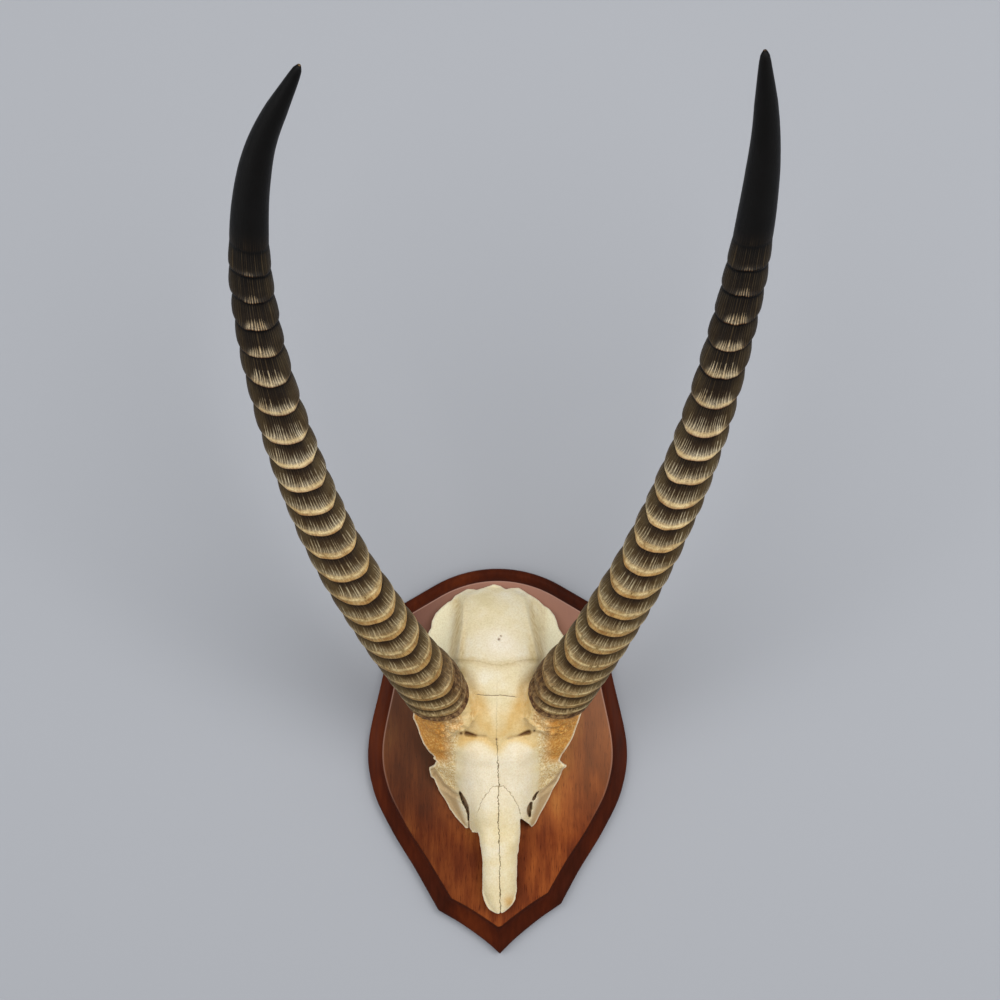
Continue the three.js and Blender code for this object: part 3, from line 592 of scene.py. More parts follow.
def dry_bone():
    """Boiled, bleached bone: cream, yellow where fat soaked in by the horns, orange-brown and rough
    over the eye sockets, dark lines in the seams; painted highlights on the lobes, the crown, the
    braincase's flaring sides and the thin cut edges, and painted shade under the horns' feet, in the
    pits, slits and brow grooves, along the cheek grooves and beside the forehead seam."""
    material, tree, surface, where = new_material("dry_bleached_bone")
    # Clouds of 22 mm, fine grain of 1.4 mm, the rough places' grain of 1.8 mm, and fibres 2.4 mm wide and
    # 30 mm long
    cloud = noise(tree, where, 45, 6, 0.6)
    fine = noise(tree, where, 700, 4, 0.6)
    grains = noise(tree, where, 560, 3, 0.6)
    fibres = noise(tree, stretched(tree, where, (1, 1, 0.08)), 420, 3)
    wiggle = spread(tree, noise(tree, where, 330, 2), 0.3, 0.7, -0.7, 0.7)
    cream = ramp(tree, cloud, [(0.3, "#E4D4A4"), (0.5, "#EFE1BA"), (0.7, "#F5ECD2")])
    orange = ramp(tree, grains, [(0.34, "#BA7A2C"), (0.5, "#D09038"), (0.66, "#E2B462")])
    # Painted highlights: paler on the lobes below the brow and on the crown's bulge
    colour = mixed(tree, on_mesh(tree, "pale"), cream, "#F9F0DC")
    # Painted highlight on the braincase's flaring sides, near white
    colour = mixed(tree, on_mesh(tree, "sheet_highlight"), colour, "#FFF5D0")
    fatty = ramp(tree, cloud, [(0.35, "#DAB46C"), (0.6, "#E8CE96")])
    colour = mixed(tree, on_mesh(tree, "stain"), colour, fatty)
    fibrous = ramp(tree, fibres, [(0.36, "#D2B67C"), (0.6, "#EBD8A8")])
    colour = mixed(tree, on_mesh(tree, "temple"), colour, fibrous)
    open_bone = ramp(tree, grains, [(0.36, "#CCA668"), (0.5, "#E6CC94"), (0.64, "#F7E8C0")])
    colour = mixed(tree, on_mesh(tree, "rough"), colour, open_bone)
    colour = mixed(tree, on_mesh(tree, "socket_roof"), colour, orange)
    # Painted shadow under the horns' feet
    colour = mixed(tree, times(tree, on_mesh(tree, "foot_shadow"), 0.6), colour, "#7A5632")
    # Grey-tan on the side flaps, and painted shade along the cheek grooves
    colour = mixed(tree, on_mesh(tree, "cheek"), colour, "#C2A67A")
    # Painted highlight along the thin cut edges
    colour = mixed(tree, on_mesh(tree, "cut_edge_highlight"), colour, "#F6EACB")
    middle = times(tree, seam_line(tree, "middle_seam", 0.6, wiggle), on_mesh(tree, "seam_strength"))
    colour = mixed(tree, middle, colour, "#75623A")
    # Fainter seams: value on the mesh, half width in millimetres, strength and colour. The wide band beside
    # the forehead seam is painted shade of its ridge
    faint_seams = [("nose_seam", 0.6, 0.6, "#8C7448"), ("forehead_seam", 4.5, 0.35, "#CDB478"),
                   ("forehead_seam", 0.9, 0.25, "#B09660")]
    for name, wide, strength, code in faint_seams:
        line = times(tree, seam_line(tree, name, wide, wiggle), strength)
        colour = mixed(tree, line, colour, code)
    slight = spread(tree, wiggle, -0.7, 0.7, -0.25, 0.25)
    colour = mixed(tree, seam_line(tree, "crack", 0.45, slight), colour, "#80694A")
    # Painted shade in the pits, the tear slits and the brow grooves
    colour = mixed(tree, on_mesh(tree, "pit"), colour, "#6A4218")
    colour = mixed(tree, 1.0, colour, ramp(tree, fine, [(0.3, "#F0EBE0"), (0.6, "#FFFFFF")]), "MULTIPLY")
    feed(tree, surface["Base Color"], colour)
    feed(tree, surface["Roughness"], spread(tree, fine, 0.3, 0.7, 0.46, 0.62))
    bumps = times(tree, grains, spread(tree, on_mesh(tree, "rough"), 0, 1, 0.1, 1.7))
    height = put(tree, "Math", {"operation": "ADD"}, {0: times(tree, fine, 0.7), 1: bumps})
    add_bump(tree, surface, 0.4, 0.0006, height)
    surface["Subsurface Weight"].default_value = 0.05
    surface["Subsurface Radius"].default_value = (0.004, 0.0025, 0.0015)
    return material


def plated_steel(name, dull, bright):
    """Pressed or turned steel with a thin bright plating, gone dull in spots 3 mm across."""
    material, tree, surface, where = new_material(name)
    spots = noise(tree, where, 300, 4)
    feed(tree, surface["Base Color"], ramp(tree, spots, [(0.3, dull), (0.7, bright)]))
    feed(tree, surface["Roughness"], spread(tree, spots, 0.3, 0.7, 0.28, 0.45))
    surface["Metallic"].default_value = 1
    return material


# Board

def board_outline():
    """The shield seen from the front, counter-clockwise, as (x, z)."""
    centre = BOARD_TOP - TOP_ARC_RADIUS
    steps = OUTLINE_STEPS
    angles = TOP_ARC_ANGLE * np.arange(1, steps["arc"] + 1) / steps["arc"]
    arc = np.c_[TOP_ARC_RADIUS * np.sin(angles), centre + TOP_ARC_RADIUS * np.cos(angles)]
    t = np.linspace(0, 1, steps["slope"] + 1)[1:-1, None]
    slope = arc[-1] * (1 - t) + np.array(BOARD_SHOULDER) * t
    side = catmull([BOARD_SHOULDER, *BOARD_SIDE, BOARD_CORNER], steps["side"])
    ogee = catmull([BOARD_CORNER, *BOARD_OGEE, BOARD_TIP], steps["ogee"])
    down = np.vstack([arc, slope, side, ogee[1:-1]])
    mirrored = down * [-1, 1]
    outline = np.vstack([[[0, BOARD_TOP]], mirrored, [BOARD_TIP], down[::-1]])
    low = fade(outline[:, 1], ASKEW["from"], ASKEW["to"])
    shift = np.c_[np.full(len(outline), ASKEW["x"]), ASKEW["z"] + ASKEW["tilt"] * outline[:, 0]]
    return outline + shift * low[:, None]


def inset(outline, distance):
    """The outline moved inwards, each corner kept sharp. Points that would pass a corner wait beside it."""
    before = outline - np.roll(outline, 1, axis=0)
    after = np.roll(outline, -1, axis=0) - outline
    before /= np.linalg.norm(before, axis=1)[:, None]
    after /= np.linalg.norm(after, axis=1)[:, None]
    inwards = np.c_[-before[:, 1] - after[:, 1], before[:, 0] + after[:, 0]]
    inwards /= np.linalg.norm(inwards, axis=1)[:, None]
    reach = distance / (inwards[:, 0] * -after[:, 1] + inwards[:, 1] * after[:, 0])
    moved = outline + inwards * reach[:, None]
    turn = before[:, 0] * after[:, 1] - before[:, 1] * after[:, 0]
    for corner in np.flatnonzero(np.abs(turn) > SHARP_TURN):
        for step, along in ((1, after[corner]), (-1, -before[corner])):
            for k in range(1, WAITING_POINTS + 1):
                beside = (corner + step * k) % len(outline)
                wait = WAITING_GAP * k
                if (moved[beside] - moved[corner]) @ along > wait:
                    break
                moved[beside] = moved[corner] + along * wait
    return moved


def make_board(material):
    outline = board_outline()
    count = len(outline)
    points, routed, arris = [], [], []
    wider = stations(EDGE_WIDENS, outline[:, 1])
    for depth, distance in BOARD_EDGE:
        row = inset(outline, distance * wider)
        points.append(np.c_[row[:, 0], np.full(count, -depth), row[:, 1]])
        on_face = depth > ARRIS["depth"]
        routed += [0.0 if on_face else 1.0] * count
        arris += [1.0 if on_face and distance < ARRIS["inset"] else 0.0] * count
    points = np.vstack(points)
    faces = []
    for r in range(len(BOARD_EDGE) - 1):
        for k in range(count):
            a, b = r * count + k, r * count + (k + 1) % count
            faces.append((a, b, b + count, a + count))
    for row, flip in ((0, True), (len(BOARD_EDGE) - 1, False)):
        first = row * count
        flat = [Vector((p[0], p[2], 0)) for p in points[first:first + count]]
        for triangle in tessellate_polygon([flat]):
            a, b, c = (flat[k] for k in triangle)
            up = (b - a).cross(c - a).z > 0
            corners = triangle if up != flip else triangle[::-1]
            faces.append(tuple(first + k for k in corners))
    board = make_object("board", points, faces, material)
    for face in board.data.polygons[(len(BOARD_EDGE) - 1) * count:]:
        face.use_smooth = False
    give_values(board, "routed", routed)
    give_values(board, "arris", arris)
    cut_back(board)
    return board


def cut_back(board):
    """Cuts the hanger's recess, its nail holes and the countersunk screw holes into the board's back."""
    middle = (0, (1 - RECESS["deep"]) / 2, HANGER_Z)
    size = (RECESS["width"], RECESS["deep"] + 1, RECESS["high"])
    corners = [[c + s * w / 2 for c, s, w in zip(middle, (i, j, k), size)]
               for i in (-1, 1) for j in (-1, 1) for k in (-1, 1)]
    sides = [(0, 1, 3, 2), (4, 6, 7, 5), (0, 4, 5, 1), (2, 3, 7, 6), (0, 2, 6, 4), (1, 5, 7, 3)]
    wood = board.data.materials[0]
    cutters = [make_object("recess", corners, sides, wood, smooth=False)]
    for x in (-NAIL["x"], NAIL["x"]):
        cutters.append(turned(x, HANGER_Z, [(NAIL["hole"], 1), (NAIL["hole"], -NAIL["long"])], wood))
    for x in (-SCREW["x"], SCREW["x"]):
        profile = [(SCREW["head"], 1), (SCREW["head"], 0), (SCREW["shank"], -SCREW["head_deep"]),
                   (SCREW["shank"], -BOARD_THICK - 1)]
        cutters.append(turned(x, SCREW["z"], profile, wood))
    for cutter in cutters:
        cut = board.modifiers.new("cut", "BOOLEAN")
        cut.operation = "DIFFERENCE"
        cut.object = cutter
    depsgraph = bpy.context.evaluated_depsgraph_get()
    finished = bpy.data.meshes.new_from_object(board.evaluated_get(depsgraph), depsgraph=depsgraph)
    board.modifiers.clear()
    board.data = finished
    for cutter in cutters:
        bpy.data.objects.remove(cutter)


def turned(x, z, profile, material, sides=24):
    """A solid turned about a line along Y, from (radius, y) pairs."""
    points, faces = [], []
    for radius, y in profile:
        for k in range(sides):
            angle = 2 * math.pi * k / sides
            points.append((x + radius * math.cos(angle), y, z + radius * math.sin(angle)))
    for row in range(len(profile) - 1):
        for k in range(sides):
            a, b = row * sides + k, row * sides + (k + 1) % sides
            faces.append((a, b, b + sides, a + sides))
    faces.append(tuple(range(sides))[::-1])
    faces.append(tuple(range(len(points) - sides, len(points))))
    return make_object("turned", points, faces, material, smooth=False)


# Horns

def horn_centre(side):
    """Dense centre line of a horn with its length at each point, and its frames."""
    curve = catmull(HORN_PATH[side], 60)
    at = np.r_[0, np.cumsum(np.linalg.norm(np.diff(curve, axis=0), axis=1))]
    even = np.linspace(0, at[-1], 1200)
    curve = np.stack([np.interp(even, at, curve[:, c]) for c in range(3)], 1)
    tangent = np.gradient(curve, axis=0)
    tangent /= np.linalg.norm(tangent, axis=1)[:, None]
    forward = np.array([0, -1.0, 0]) + tangent * tangent[:, 1:2]
    forward /= np.linalg.norm(forward, axis=1)[:, None]
    sideways = np.cross(tangent, forward)
    sideways *= np.sign(sideways[:, 0:1])
    return even, curve, tangent, forward, sideways


def horn_girth(at, long, inner):
    """Radius over the ring lips; inner is 1 on the side towards the midline."""
    much, middle, length = INNER_SWELL
    swell = much * np.exp(-((at - middle) / length) ** 2) * np.clip(inner, 0, 1)
    return stations(HORN_RADIUS, (at - HORN_START) / (long - HORN_START)) + swell


def horn_rows():
    """Shares of the way up the horn for its rows of points, closest together at the ring lips."""
    lips = FIRST_RING + np.r_[0, np.cumsum(RING_STEPS)]
    at = np.linspace(HORN_START, ROW_SPACING_LENGTH, 3000)
    near_lip = np.exp(-((at[:, None] - lips) / 2.5) ** 2).sum(1)
    crowding = np.where(at < lips[-1] + 15, 1 + 1.6 * near_lip, 0.5)
    so_far = np.cumsum(crowding)
    return np.interp(np.linspace(so_far[0], so_far[-1], HORN_ROWS), so_far, np.linspace(0, 1, len(at)))


def make_horn(side, material):
    even, curve, tangent, forward, sideways = horn_centre(side)
    long = even[-1]
    towards_midline = 1 if side == "left" else -1
    seed = 11 if side == "left" else 29
    angle = (2 * np.pi * np.arange(HORN_SIDES) / HORN_SIDES)[None]
    inner = towards_midline * np.sin(angle)
    at = HORN_START + (long - HORN_START) * horn_rows()[:, None]
    share = (at - HORN_START) / (long - HORN_START)
    front = np.cos(angle)

    # Ring lips wander a little round the horn
    round_horn = np.stack(np.broadcast_arrays(np.cos(angle) * 20, np.sin(angle) * 20, at * 0.9), -1)
    wander = 1.1 * value_noise(round_horn, 15, seed) + 0.5 * value_noise(round_horn, 5, seed + 1)
    lips = np.cumsum([FIRST_RING - FOOT_ROLL, FOOT_ROLL, *RING_STEPS, RING_STEPS[-1]])
    phase = np.interp(at + wander, lips, np.arange(len(lips)))
    inside = np.where(at + wander < lips[0], 0, phase % 1)
    number = np.floor(phase).astype(int)
    ring_share = (lips - HORN_START)[number] / (long - HORN_START)
    vary = np.random.default_rng(seed + 5).uniform(0.82, 1.15, len(lips) + 1)[number]
    top_edge = stations(ROLL_SHARE, number)
    above_roll = 0.25 + 0.75 * (inside - top_edge) / (1 - top_edge)
    along = np.where(inside < top_edge, 0.25 * inside / top_edge, above_roll)
    beside = fade(np.abs(np.sin(angle)), 0.55, 0.95)
    sunk = (smooth_through(*zip(*RING_FRONT), along) * (1 - beside)
            + smooth_through(*zip(*RING_SIDE), inside) * beside)
    strength = RING_BACK_SHARE + (1 - RING_BACK_SHARE) * (0.5 + 0.5 * front)
    depth = stations(RING_DEPTH, share) * vary * strength
    lumps = 0.3 * value_noise(round_horn, 9, seed + 2)
    flute_count, flute_depth = FLUTES
    flutes = np.sin(angle * flute_count + 3 * value_noise(round_horn, 30, seed + 3))
    flutes = flute_depth * flutes * sunk * (share < 0.8)
    uneven = np.clip(stations(RING_DEPTH, share), 0.2, 3) / 3
    radius = horn_girth(at, long, inner) - sunk * depth + (lumps + flutes) * uneven
    rim = np.clip((at - HORN_START) / RIM_ROUND, 0, 1)
    radius = radius - RIM_ROUND * (1 - np.sqrt(1 - (1 - rim) ** 2))

    droop, skew = stations(RING_DROOP, share), stations(RING_SKEW, share)
    rise = LOW_RIM_RISE[side] * np.exp(-(at - HORN_START) / LOW_RIM_FADE)
    place = at + rise * np.clip(inner, 0, 1) ** 2 - (droop * front + skew * inner) * radius
    round_only = round_horn * [1, 1, 0]
    ragged = value_noise(round_only, 2.5, seed + 9) + value_noise(round_only, 6, seed + 10)
    place = place + 0.8 * ragged * (1 - rim)
    put_at = lambda table: np.stack([np.interp(place, even, table[:, c]) for c in range(3)], -1)
    centre = put_at(curve)
    beyond = np.minimum(place, 0) + np.maximum(place - long, 0)
    points = (centre + put_at(tangent) * beyond[..., None]
              + put_at(forward) * (radius * np.cos(angle))[..., None]
              + put_at(sideways) * (radius * np.sin(angle))[..., None])
    rows, sides = HORN_ROWS, HORN_SIDES
    grid = np.arange(rows * sides).reshape(rows, sides)
    a, b = grid[:-1], np.roll(grid, -1, axis=1)[:-1]
    c, d = np.roll(grid, -1, axis=1)[1:], grid[1:]
    quads = np.stack([a, b, c, d], -1).reshape(-1, 4)
    flat = points.reshape(-1, 3)
    ends = np.vstack([flat[:sides].mean(0), flat[-sides:].mean(0)])
    base, tip = rows * sides, rows * sides + 1
    faces = quads.tolist()
    for k in range(sides):
        n = (k + 1) % sides
        faces.append((base, n, k))
        faces.append((tip, grid[-1, k], grid[-1, n]))
    horn = make_object(f"{side}_horn_ringed", np.vstack([flat, ends]), faces, material)
    pad = lambda v: np.r_[np.broadcast_to(v, (rows, sides)).ravel(), 0, 1]
    give_values(horn, "to_tip", pad(share))
    ringed = fade(share, *RINGS_FADE)
    paler_share = np.clip(0.9 + 0.35 * value_noise(round_horn, 6, seed + 8), 0.4, 1)
    # How far each place faces the front: the rolls are painted brighter there as light, and the valleys
    # painted darker away from it as shade
    facing = fade(front, -0.5, 0.45)
    on_roll = fade(inside, top_edge * 1.12, top_edge * 0.85)
    gold = stations(ROLL_GOLD, number)
    # The gold roll, worn paler in places and painted brighter towards the front as light
    give_values(horn, "ring_roll", pad(on_roll * paler_share * gold * (0.4 + 0.6 * facing)))
    line_place = np.exp(-((inside - top_edge * 0.82) / 0.035) ** 2)
    hair_spread = stations(HAIR_SPREAD, number)
    narrow = fade(np.abs(np.sin(angle)), hair_spread + 0.1, hair_spread - 0.12) * fade(front, -0.1, 0.2)
    give_values(horn, "ring_line", pad(line_place * narrow * gold))
    give_values(horn, "ring_crest", pad(fade(inside, top_edge * 0.85, top_edge * 0.45)))
    # Painted highlight on the rings' bulges at the horn's sides, fading up the horn
    side_light = np.interp(share, [0, 0.45, 0.65], [0.55, 0.4, 0.1])
    side_light = fade(np.abs(np.sin(angle)), 0.5, 0.95) * side_light
    give_values(horn, "ring_side_highlight", pad(side_light * ringed * fade(inside, 1, 0.8)))
    # Painted shade along each roll's underside
    give_values(horn, "ring_underside_shade", pad(fade(inside, 0.07, 0.03) * ringed))
    length = stations(HAIR_LENGTH, number)
    pale = np.clip(1 - (inside - 0.6 * top_edge) / (length - 0.6 * top_edge), 0, 1.2)
    pale = np.where(inside < length, pale, -1) - 1.5 * (1 - narrow) - 3 * (1 - ringed)
    give_values(horn, "ring_pale", pad(pale))
    faint = np.interp(share, [0, 0.3], [0.35, 0.3]) * (0.3 + 0.7 * fade(front, -0.3, 0.5))
    give_values(horn, "ring_faint", pad(faint * ringed * fade(inside, 1, 0.8)))
    haze = fade(inside, top_edge + 0.22, top_edge) * stations(HAIR_HAZE, number)
    give_values(horn, "ring_haze", pad(haze * narrow * ringed))
    give_values(horn, "ring_hairs", pad(fade(inside, 0.1, 0.4) * ringed))
    # Painted shade: the valleys darker towards the groove under each lip and on the horn's sides
    give_values(horn, "ring_painted_shade", pad(np.clip(fade(inside, 0.4, 0.85) + 0.35 * (1 - facing), 0, 1)))
    give_values(horn, "ring_shadow", pad(fade(inside, 0.84, 0.95) * fade(inside, 1, 0.97) * ringed))
    foot = fade(at, FIRST_RING + 2, FIRST_RING - 4) * 0.8 + 0.7 * fade(inner, 0.15, 0.85) * fade(at, 95, 45)
    give_values(horn, "foot", pad(np.clip(foot, 0, 1)))
    spacing = np.interp(ring_share, [0, 0.3, 0.7], [1.35, 1, 0.85]) * stations(HORN_RADIUS, ring_share)
    for name, away, up in (("ring_streak", spacing, number * STREAK_STEP), ("horn_grain", radius, at)):
        spot = np.stack(np.broadcast_arrays(np.cos(angle) * away, np.sin(angle) * away, up), -1)
        give_vectors(horn, name, np.vstack([spot.reshape(-1, 3), spot[0, :1], spot[-1, :1]]))
    return horn


# Skull plate

def skull_heights(x, z):
    """Heights of the bone's front and underside over the board's face, before the fine relief."""
    ribs = sorted(SKULL_RIBS)
    at = [rib[0] for rib in ribs]
    across = smooth_through(at, [[p[0] for p in rib[1]] for rib in ribs], z)
    high = smooth_through(at, [[p[1] for p in rib[1]] for rib in ribs], z)
    low = smooth_through(at, [rib[2] for rib in ribs], z)
    top = np.zeros((len(x), len(z)))
    under = np.zeros((len(x), len(z)))
    # Where the ribs' middle lies at each height
    middle = np.interp(z, [-140, -110, -60, -20, 0, 110, 130, 150], [2.3, 1.9, 1.7, 1.1, 0.5, 0, -1.5, -3])
    for k in range(len(z)):
        out = np.abs(x - middle[k])
        inside = np.minimum(out, across[k, -1])
        top[:, k] = smooth_through(across[k], high[k], inside)
        under[:, k] = np.interp(inside, across[k], low[k])
        top[:, k] -= 0.4 * np.maximum(out - across[k, -1], 0)
    return top, np.maximum(np.minimum(under, top - 3), 0.3)


def spongy(x, z):
    """Where the bone is open and rough: over the eye sockets and down to the tear slits."""
    wide = np.interp(z, [-32, -5, 10, 30, 45], [36, 37, 36, 34, 37])
    return fade(np.abs(x), wide - 1, wide + 4) * fade(z, -34, -20) * fade(z, 56, 46)


def socket_roofs(x, z):
    """Where the eye sockets' roofs are, outside the horns' feet."""
    return fade(np.abs(x), 38, 52) * fade(z, -2, 8) * fade(z, 56, 48)


def skull_relief(x, z):
    """Swellings, ridges, grooves and pits that the ribs leave out, in millimetres of height."""
    relief = 2.6 * hill(x, z, -19.6, 2, 11, 19) + 2.6 * hill(x, z, 19.6, 4, 11, 19)
    relief += 1.6 * hill(x, z, 0, 118, 22, 20)
    brow = above_line(x, z, BROW)
    near_middle = fade(np.abs(x), 34, 24)
    relief -= 0.9 * np.exp(-(brow / 2.2) ** 2) * near_middle
    relief += 1.1 * fade(brow, 0, 7) * fade(brow, 24, 8) * near_middle
    for groove in BROW_GROOVES:
        relief -= 0.9 * np.exp(-(from_line(x, z, groove) / 1.3) ** 2)
    for pit in BROW_PITS:
        relief -= 4.5 * fade(from_slit(x, z, pit), 1.4, -1.2)
    seam = from_line(x, z, FOREHEAD_SEAM)
    across = fade(np.abs(x), 44, 37)
    relief += (1.0 * np.exp(-((seam - 1.5) / 2.2) ** 2) - 0.7 * np.exp(-((seam + 2.2) / 2.4) ** 2)) * across
    middle = np.abs(from_line(x, z, MIDDLE_SEAM))
    seam_depth = np.interp(z, [-140, -20, 0, 24, 30, 60], [1.3, 1.1, 0.9, 0.7, 0.2, 0])
    relief -= seam_depth * np.exp(-(middle / 1.1) ** 2)
    relief -= 0.5 * np.exp(-(from_line(x, z, NOSE_SEAM) / 0.9) ** 2)
    relief -= 0.7 * np.exp(-(from_line(x, z, CRACK) / 0.7) ** 2)
    for ridge in TEMPLE_RIDGES:
        away = np.abs(from_line(x, z, ridge))
        relief += 0.9 * np.exp(-(away / 1.8) ** 2)
    for line in CHEEK_LINES:
        away = from_line(x, z, line)
        relief -= 1.8 * np.exp(-(away / 2) ** 2)
        relief += 0.8 * np.exp(-((np.abs(away) - 3.6) / 1.6) ** 2)
    for cx, cz, wide in SMALL_PITS:
        relief -= 3 * hill(x, z, cx, cz, wide, wide)
    flat = np.stack([x, 0 * x, z], -1)
    rough = spongy(x, z)
    relief += rough * (0.75 * value_noise(flat, 3.6, 21) + 0.6 * value_noise(flat, 2.4, 22))
    relief += 0.5 * value_noise(flat, 15, 23) + 0.15 * value_noise(flat, 6, 24)
    drawn_out = np.stack([x, 0 * x, z * 0.12], -1)
    temples = fade(np.abs(x), 26, 32) * fade(z, 92, 102) * fade(np.abs(x), 50, 42)
    relief += 0.7 * temples * value_noise(drawn_out, 2.4, 25)
    return relief


def horn_foot(x, y, z, side):
    """Place along, forward and sideways of a horn's axis at its foot, for points in space."""
    even, curve, tangent, forward, sideways = horn_centre(side)
    k = np.searchsorted(even, HORN_START)
    offset = [x - curve[k][0], y - curve[k][1], z - curve[k][2]]
    dot = lambda v: sum(o * c for o, c in zip(offset, v))
    return dot(tangent[k]) + HORN_START, dot(forward[k]), dot(sideways[k])


def foot_plane(u, v, side):
    """Where along the axis the horn's lower face lies, for places forward u and sideways v of it."""
    inner = v * (1 if side == "left" else -1)
    rise = LOW_RIM_RISE[side] * np.clip(inner / HORN_RADIUS[0][1], 0, 1) ** 2
    return HORN_START - RING_DROOP[0][1] * u - RING_SKEW[0][1] * inner + rise


def make_skull(material):
    x, h, z = (np.arange(*SKULL_SPACE[way], VOXEL) for way in "xhz")
    top, under = skull_heights(x, z)
    X, Z = np.meshgrid(x, z, indexing="ij")
    relief = skull_relief(X, Z)
    top = top + relief
    slope_x, slope_z = np.gradient(top, VOXEL)
    steep = np.sqrt(1 + np.minimum(slope_x**2 + slope_z**2, 9))
    under_x, under_z = np.gradient(under, VOXEL)
    under_steep = np.sqrt(1 + under_x**2 + under_z**2)
    flat = np.stack([X, 0 * X, Z], -1)
    rim = inside_polygon(X, Z, SKULL_RIM) + 0.3 * value_noise(flat, 4, 31)
    H = h[None, :, None]
    front = (H - top[:, None]) / steep[:, None]
    back = (under[:, None] - H) / under_steep[:, None]
    field = np.maximum(np.maximum(front, back), rim[:, None])
    for slit in TEAR_SLITS:
        beside = from_slit(X, Z, slit) + 0.6 * value_noise(flat, 2.4, 51)
        floor = (top - SLIT_DEPTH)[:, None] - H
        field = np.maximum(field, -np.maximum(beside[:, None], floor))
    space = np.stack(np.broadcast_arrays(X[:, None], -(H + BOARD_THICK), Z[:, None]), -1)
    lumps, small_lumps = value_noise(space, 4.5, 41), value_noise(space, 2.2, 42)
    for name in ("left", "right"):
        t, u, v = horn_foot(space[..., 0], space[..., 1], space[..., 2], name)
        r = np.hypot(u, v)
        plane = foot_plane(u, v, name)
        bead = 1.6 * np.exp(-((t - plane + 4) / 4) ** 2)
        collar = PEDICLE_RADIUS + 2.2 * lumps + 1.4 * small_lumps + bead
        stub = np.maximum(np.maximum(r - collar, t - plane + 0.5), -t - 6)
        blend = np.clip(0.5 + 0.5 * (field - stub) / STUB_BLEND, 0, 1)
        field = field * (1 - blend) + stub * blend - STUB_BLEND * blend * (1 - blend)
        inner = v * (1 if name == "left" else -1) / np.maximum(r, 1)
        horn = np.maximum(r - horn_girth(t, FOOT_GIRTH_LENGTH, inner) - 0.4, plane - 0.4 - t)
        field = np.maximum(field, -np.maximum(horn, t - HORN_ROOM))
    field = np.maximum(field, 0.3 - H)
    band = 3 * VOXEL
    grid = openvdb.FloatGrid(background=band)
    grid.copyFromArray(np.clip(field, -band, band).astype(np.float32))
    grid.gridClass = openvdb.GridClass.LEVEL_SET
    vertices, quads = grid.convertToQuads(0.0)
    points = np.stack([x[0] + vertices[:, 0] * VOXEL, -BOARD_THICK - (h[0] + vertices[:, 1] * VOXEL),
                       z[0] + vertices[:, 2] * VOXEL], 1)
    skull = make_object("skull_bone", points, quads.tolist(), material)
    px, py, pz = points.T
    beside_horn = np.zeros(len(points))
    for name in ("left", "right"):
        t, u, v = horn_foot(px, py, pz, name)
        beside_horn = np.maximum(beside_horn, fade(np.hypot(u, v), 41, 29) * fade(t, 70, 20))
    above_brow = fade(above_line(px, pz, BROW), -7, 3)
    patch = hill(px, pz, 11, -129, 5, 6)
    over_brow = 0.55 * fade(pz, 62, 44) + 0.35 * fade(pz, 40, 28)
    stain = beside_horn * np.interp(pz, [58, 95], [1, 0.5]) + over_brow
    give_values(skull, "stain", np.clip(stain * (0.1 + 0.9 * above_brow) + patch, 0, 1))
    # Painted highlights on the lobes below the brow and on the crown's bulge
    lobes = fade(above_line(px, pz, BROW), -1, -11) * fade(np.abs(px), 36, 26) * fade(pz, -60, -20)
    # Where the braincase's sides flare out, painted near white as highlight
    sheets = fade(np.abs(px), 40, 47) * fade(pz, 84, 96)
    give_values(skull, "pale", np.clip(0.6 * lobes + 0.95 * hill(px, pz, 1, 112, 17, 15), 0, 1))
    give_values(skull, "sheet_highlight", sheets)
    # Painted highlight along the thin cut edges
    give_values(skull, "cut_edge_highlight", 0.8 * fade(inside_polygon(px, pz, SKULL_RIM), -1.9, -0.5))
    collar = np.zeros(len(points))
    # Painted shadow under each horn's foot
    foot_shadow = np.zeros(len(points))
    for name in ("left", "right"):
        t, u, v = horn_foot(px, py, pz, name)
        r = np.hypot(u, v)
        shaded = fade(foot_plane(u, v, name) - t, 8, 1) * fade(r, 36, 31) * fade(np.abs(px), 33, 38)
        foot_shadow = np.maximum(foot_shadow, shaded)
        collar = np.maximum(collar, fade(r, 33, 27) * fade(t, -6, 4) * fade(pz, 64, 54))
    smooth_to = np.interp(pz, [28, 37, 50], [26.5, 28.6, 32.5])
    collar = collar * fade(np.abs(px), smooth_to - 1, smooth_to + 2)
    orange = np.maximum(socket_roofs(px, pz), 0.45 * collar)
    give_values(skull, "socket_roof", np.maximum(orange, 0.4 * patch))
    give_values(skull, "rough", np.maximum(spongy(px, pz), collar))
    give_values(skull, "foot_shadow", foot_shadow)
    for name, line in (("middle_seam", MIDDLE_SEAM), ("nose_seam", NOSE_SEAM),
                       ("forehead_seam", FOREHEAD_SEAM), ("crack", CRACK)):
        give_values(skull, name, from_line(px, pz, line))
    seam_strength = np.interp(pz, [-20, 0, 22, 28, 60, 90], [1, 0.9, 0.8, 0.3, 0.15, 0])
    give_values(skull, "seam_strength", seam_strength)
    # Painted shade in the pits, the tear slits and the brow grooves
    pits = sum(0.8 * fade(from_slit(px, pz, pit), 2, -1.5) for pit in BROW_PITS)
    pits = pits + sum(hill(px, pz, cx, cz, wide * 1.2, wide * 1.2) for cx, cz, wide in SMALL_PITS)
    for slit in TEAR_SLITS:
        pits = pits + 0.85 * fade(from_slit(px, pz, slit), 0.6, -0.1)
    for groove in BROW_GROOVES:
        pits = pits + 0.4 * np.exp(-(from_line(px, pz, groove) / 1.1) ** 2)
    give_values(skull, "pit", np.clip(pits, 0, 1))
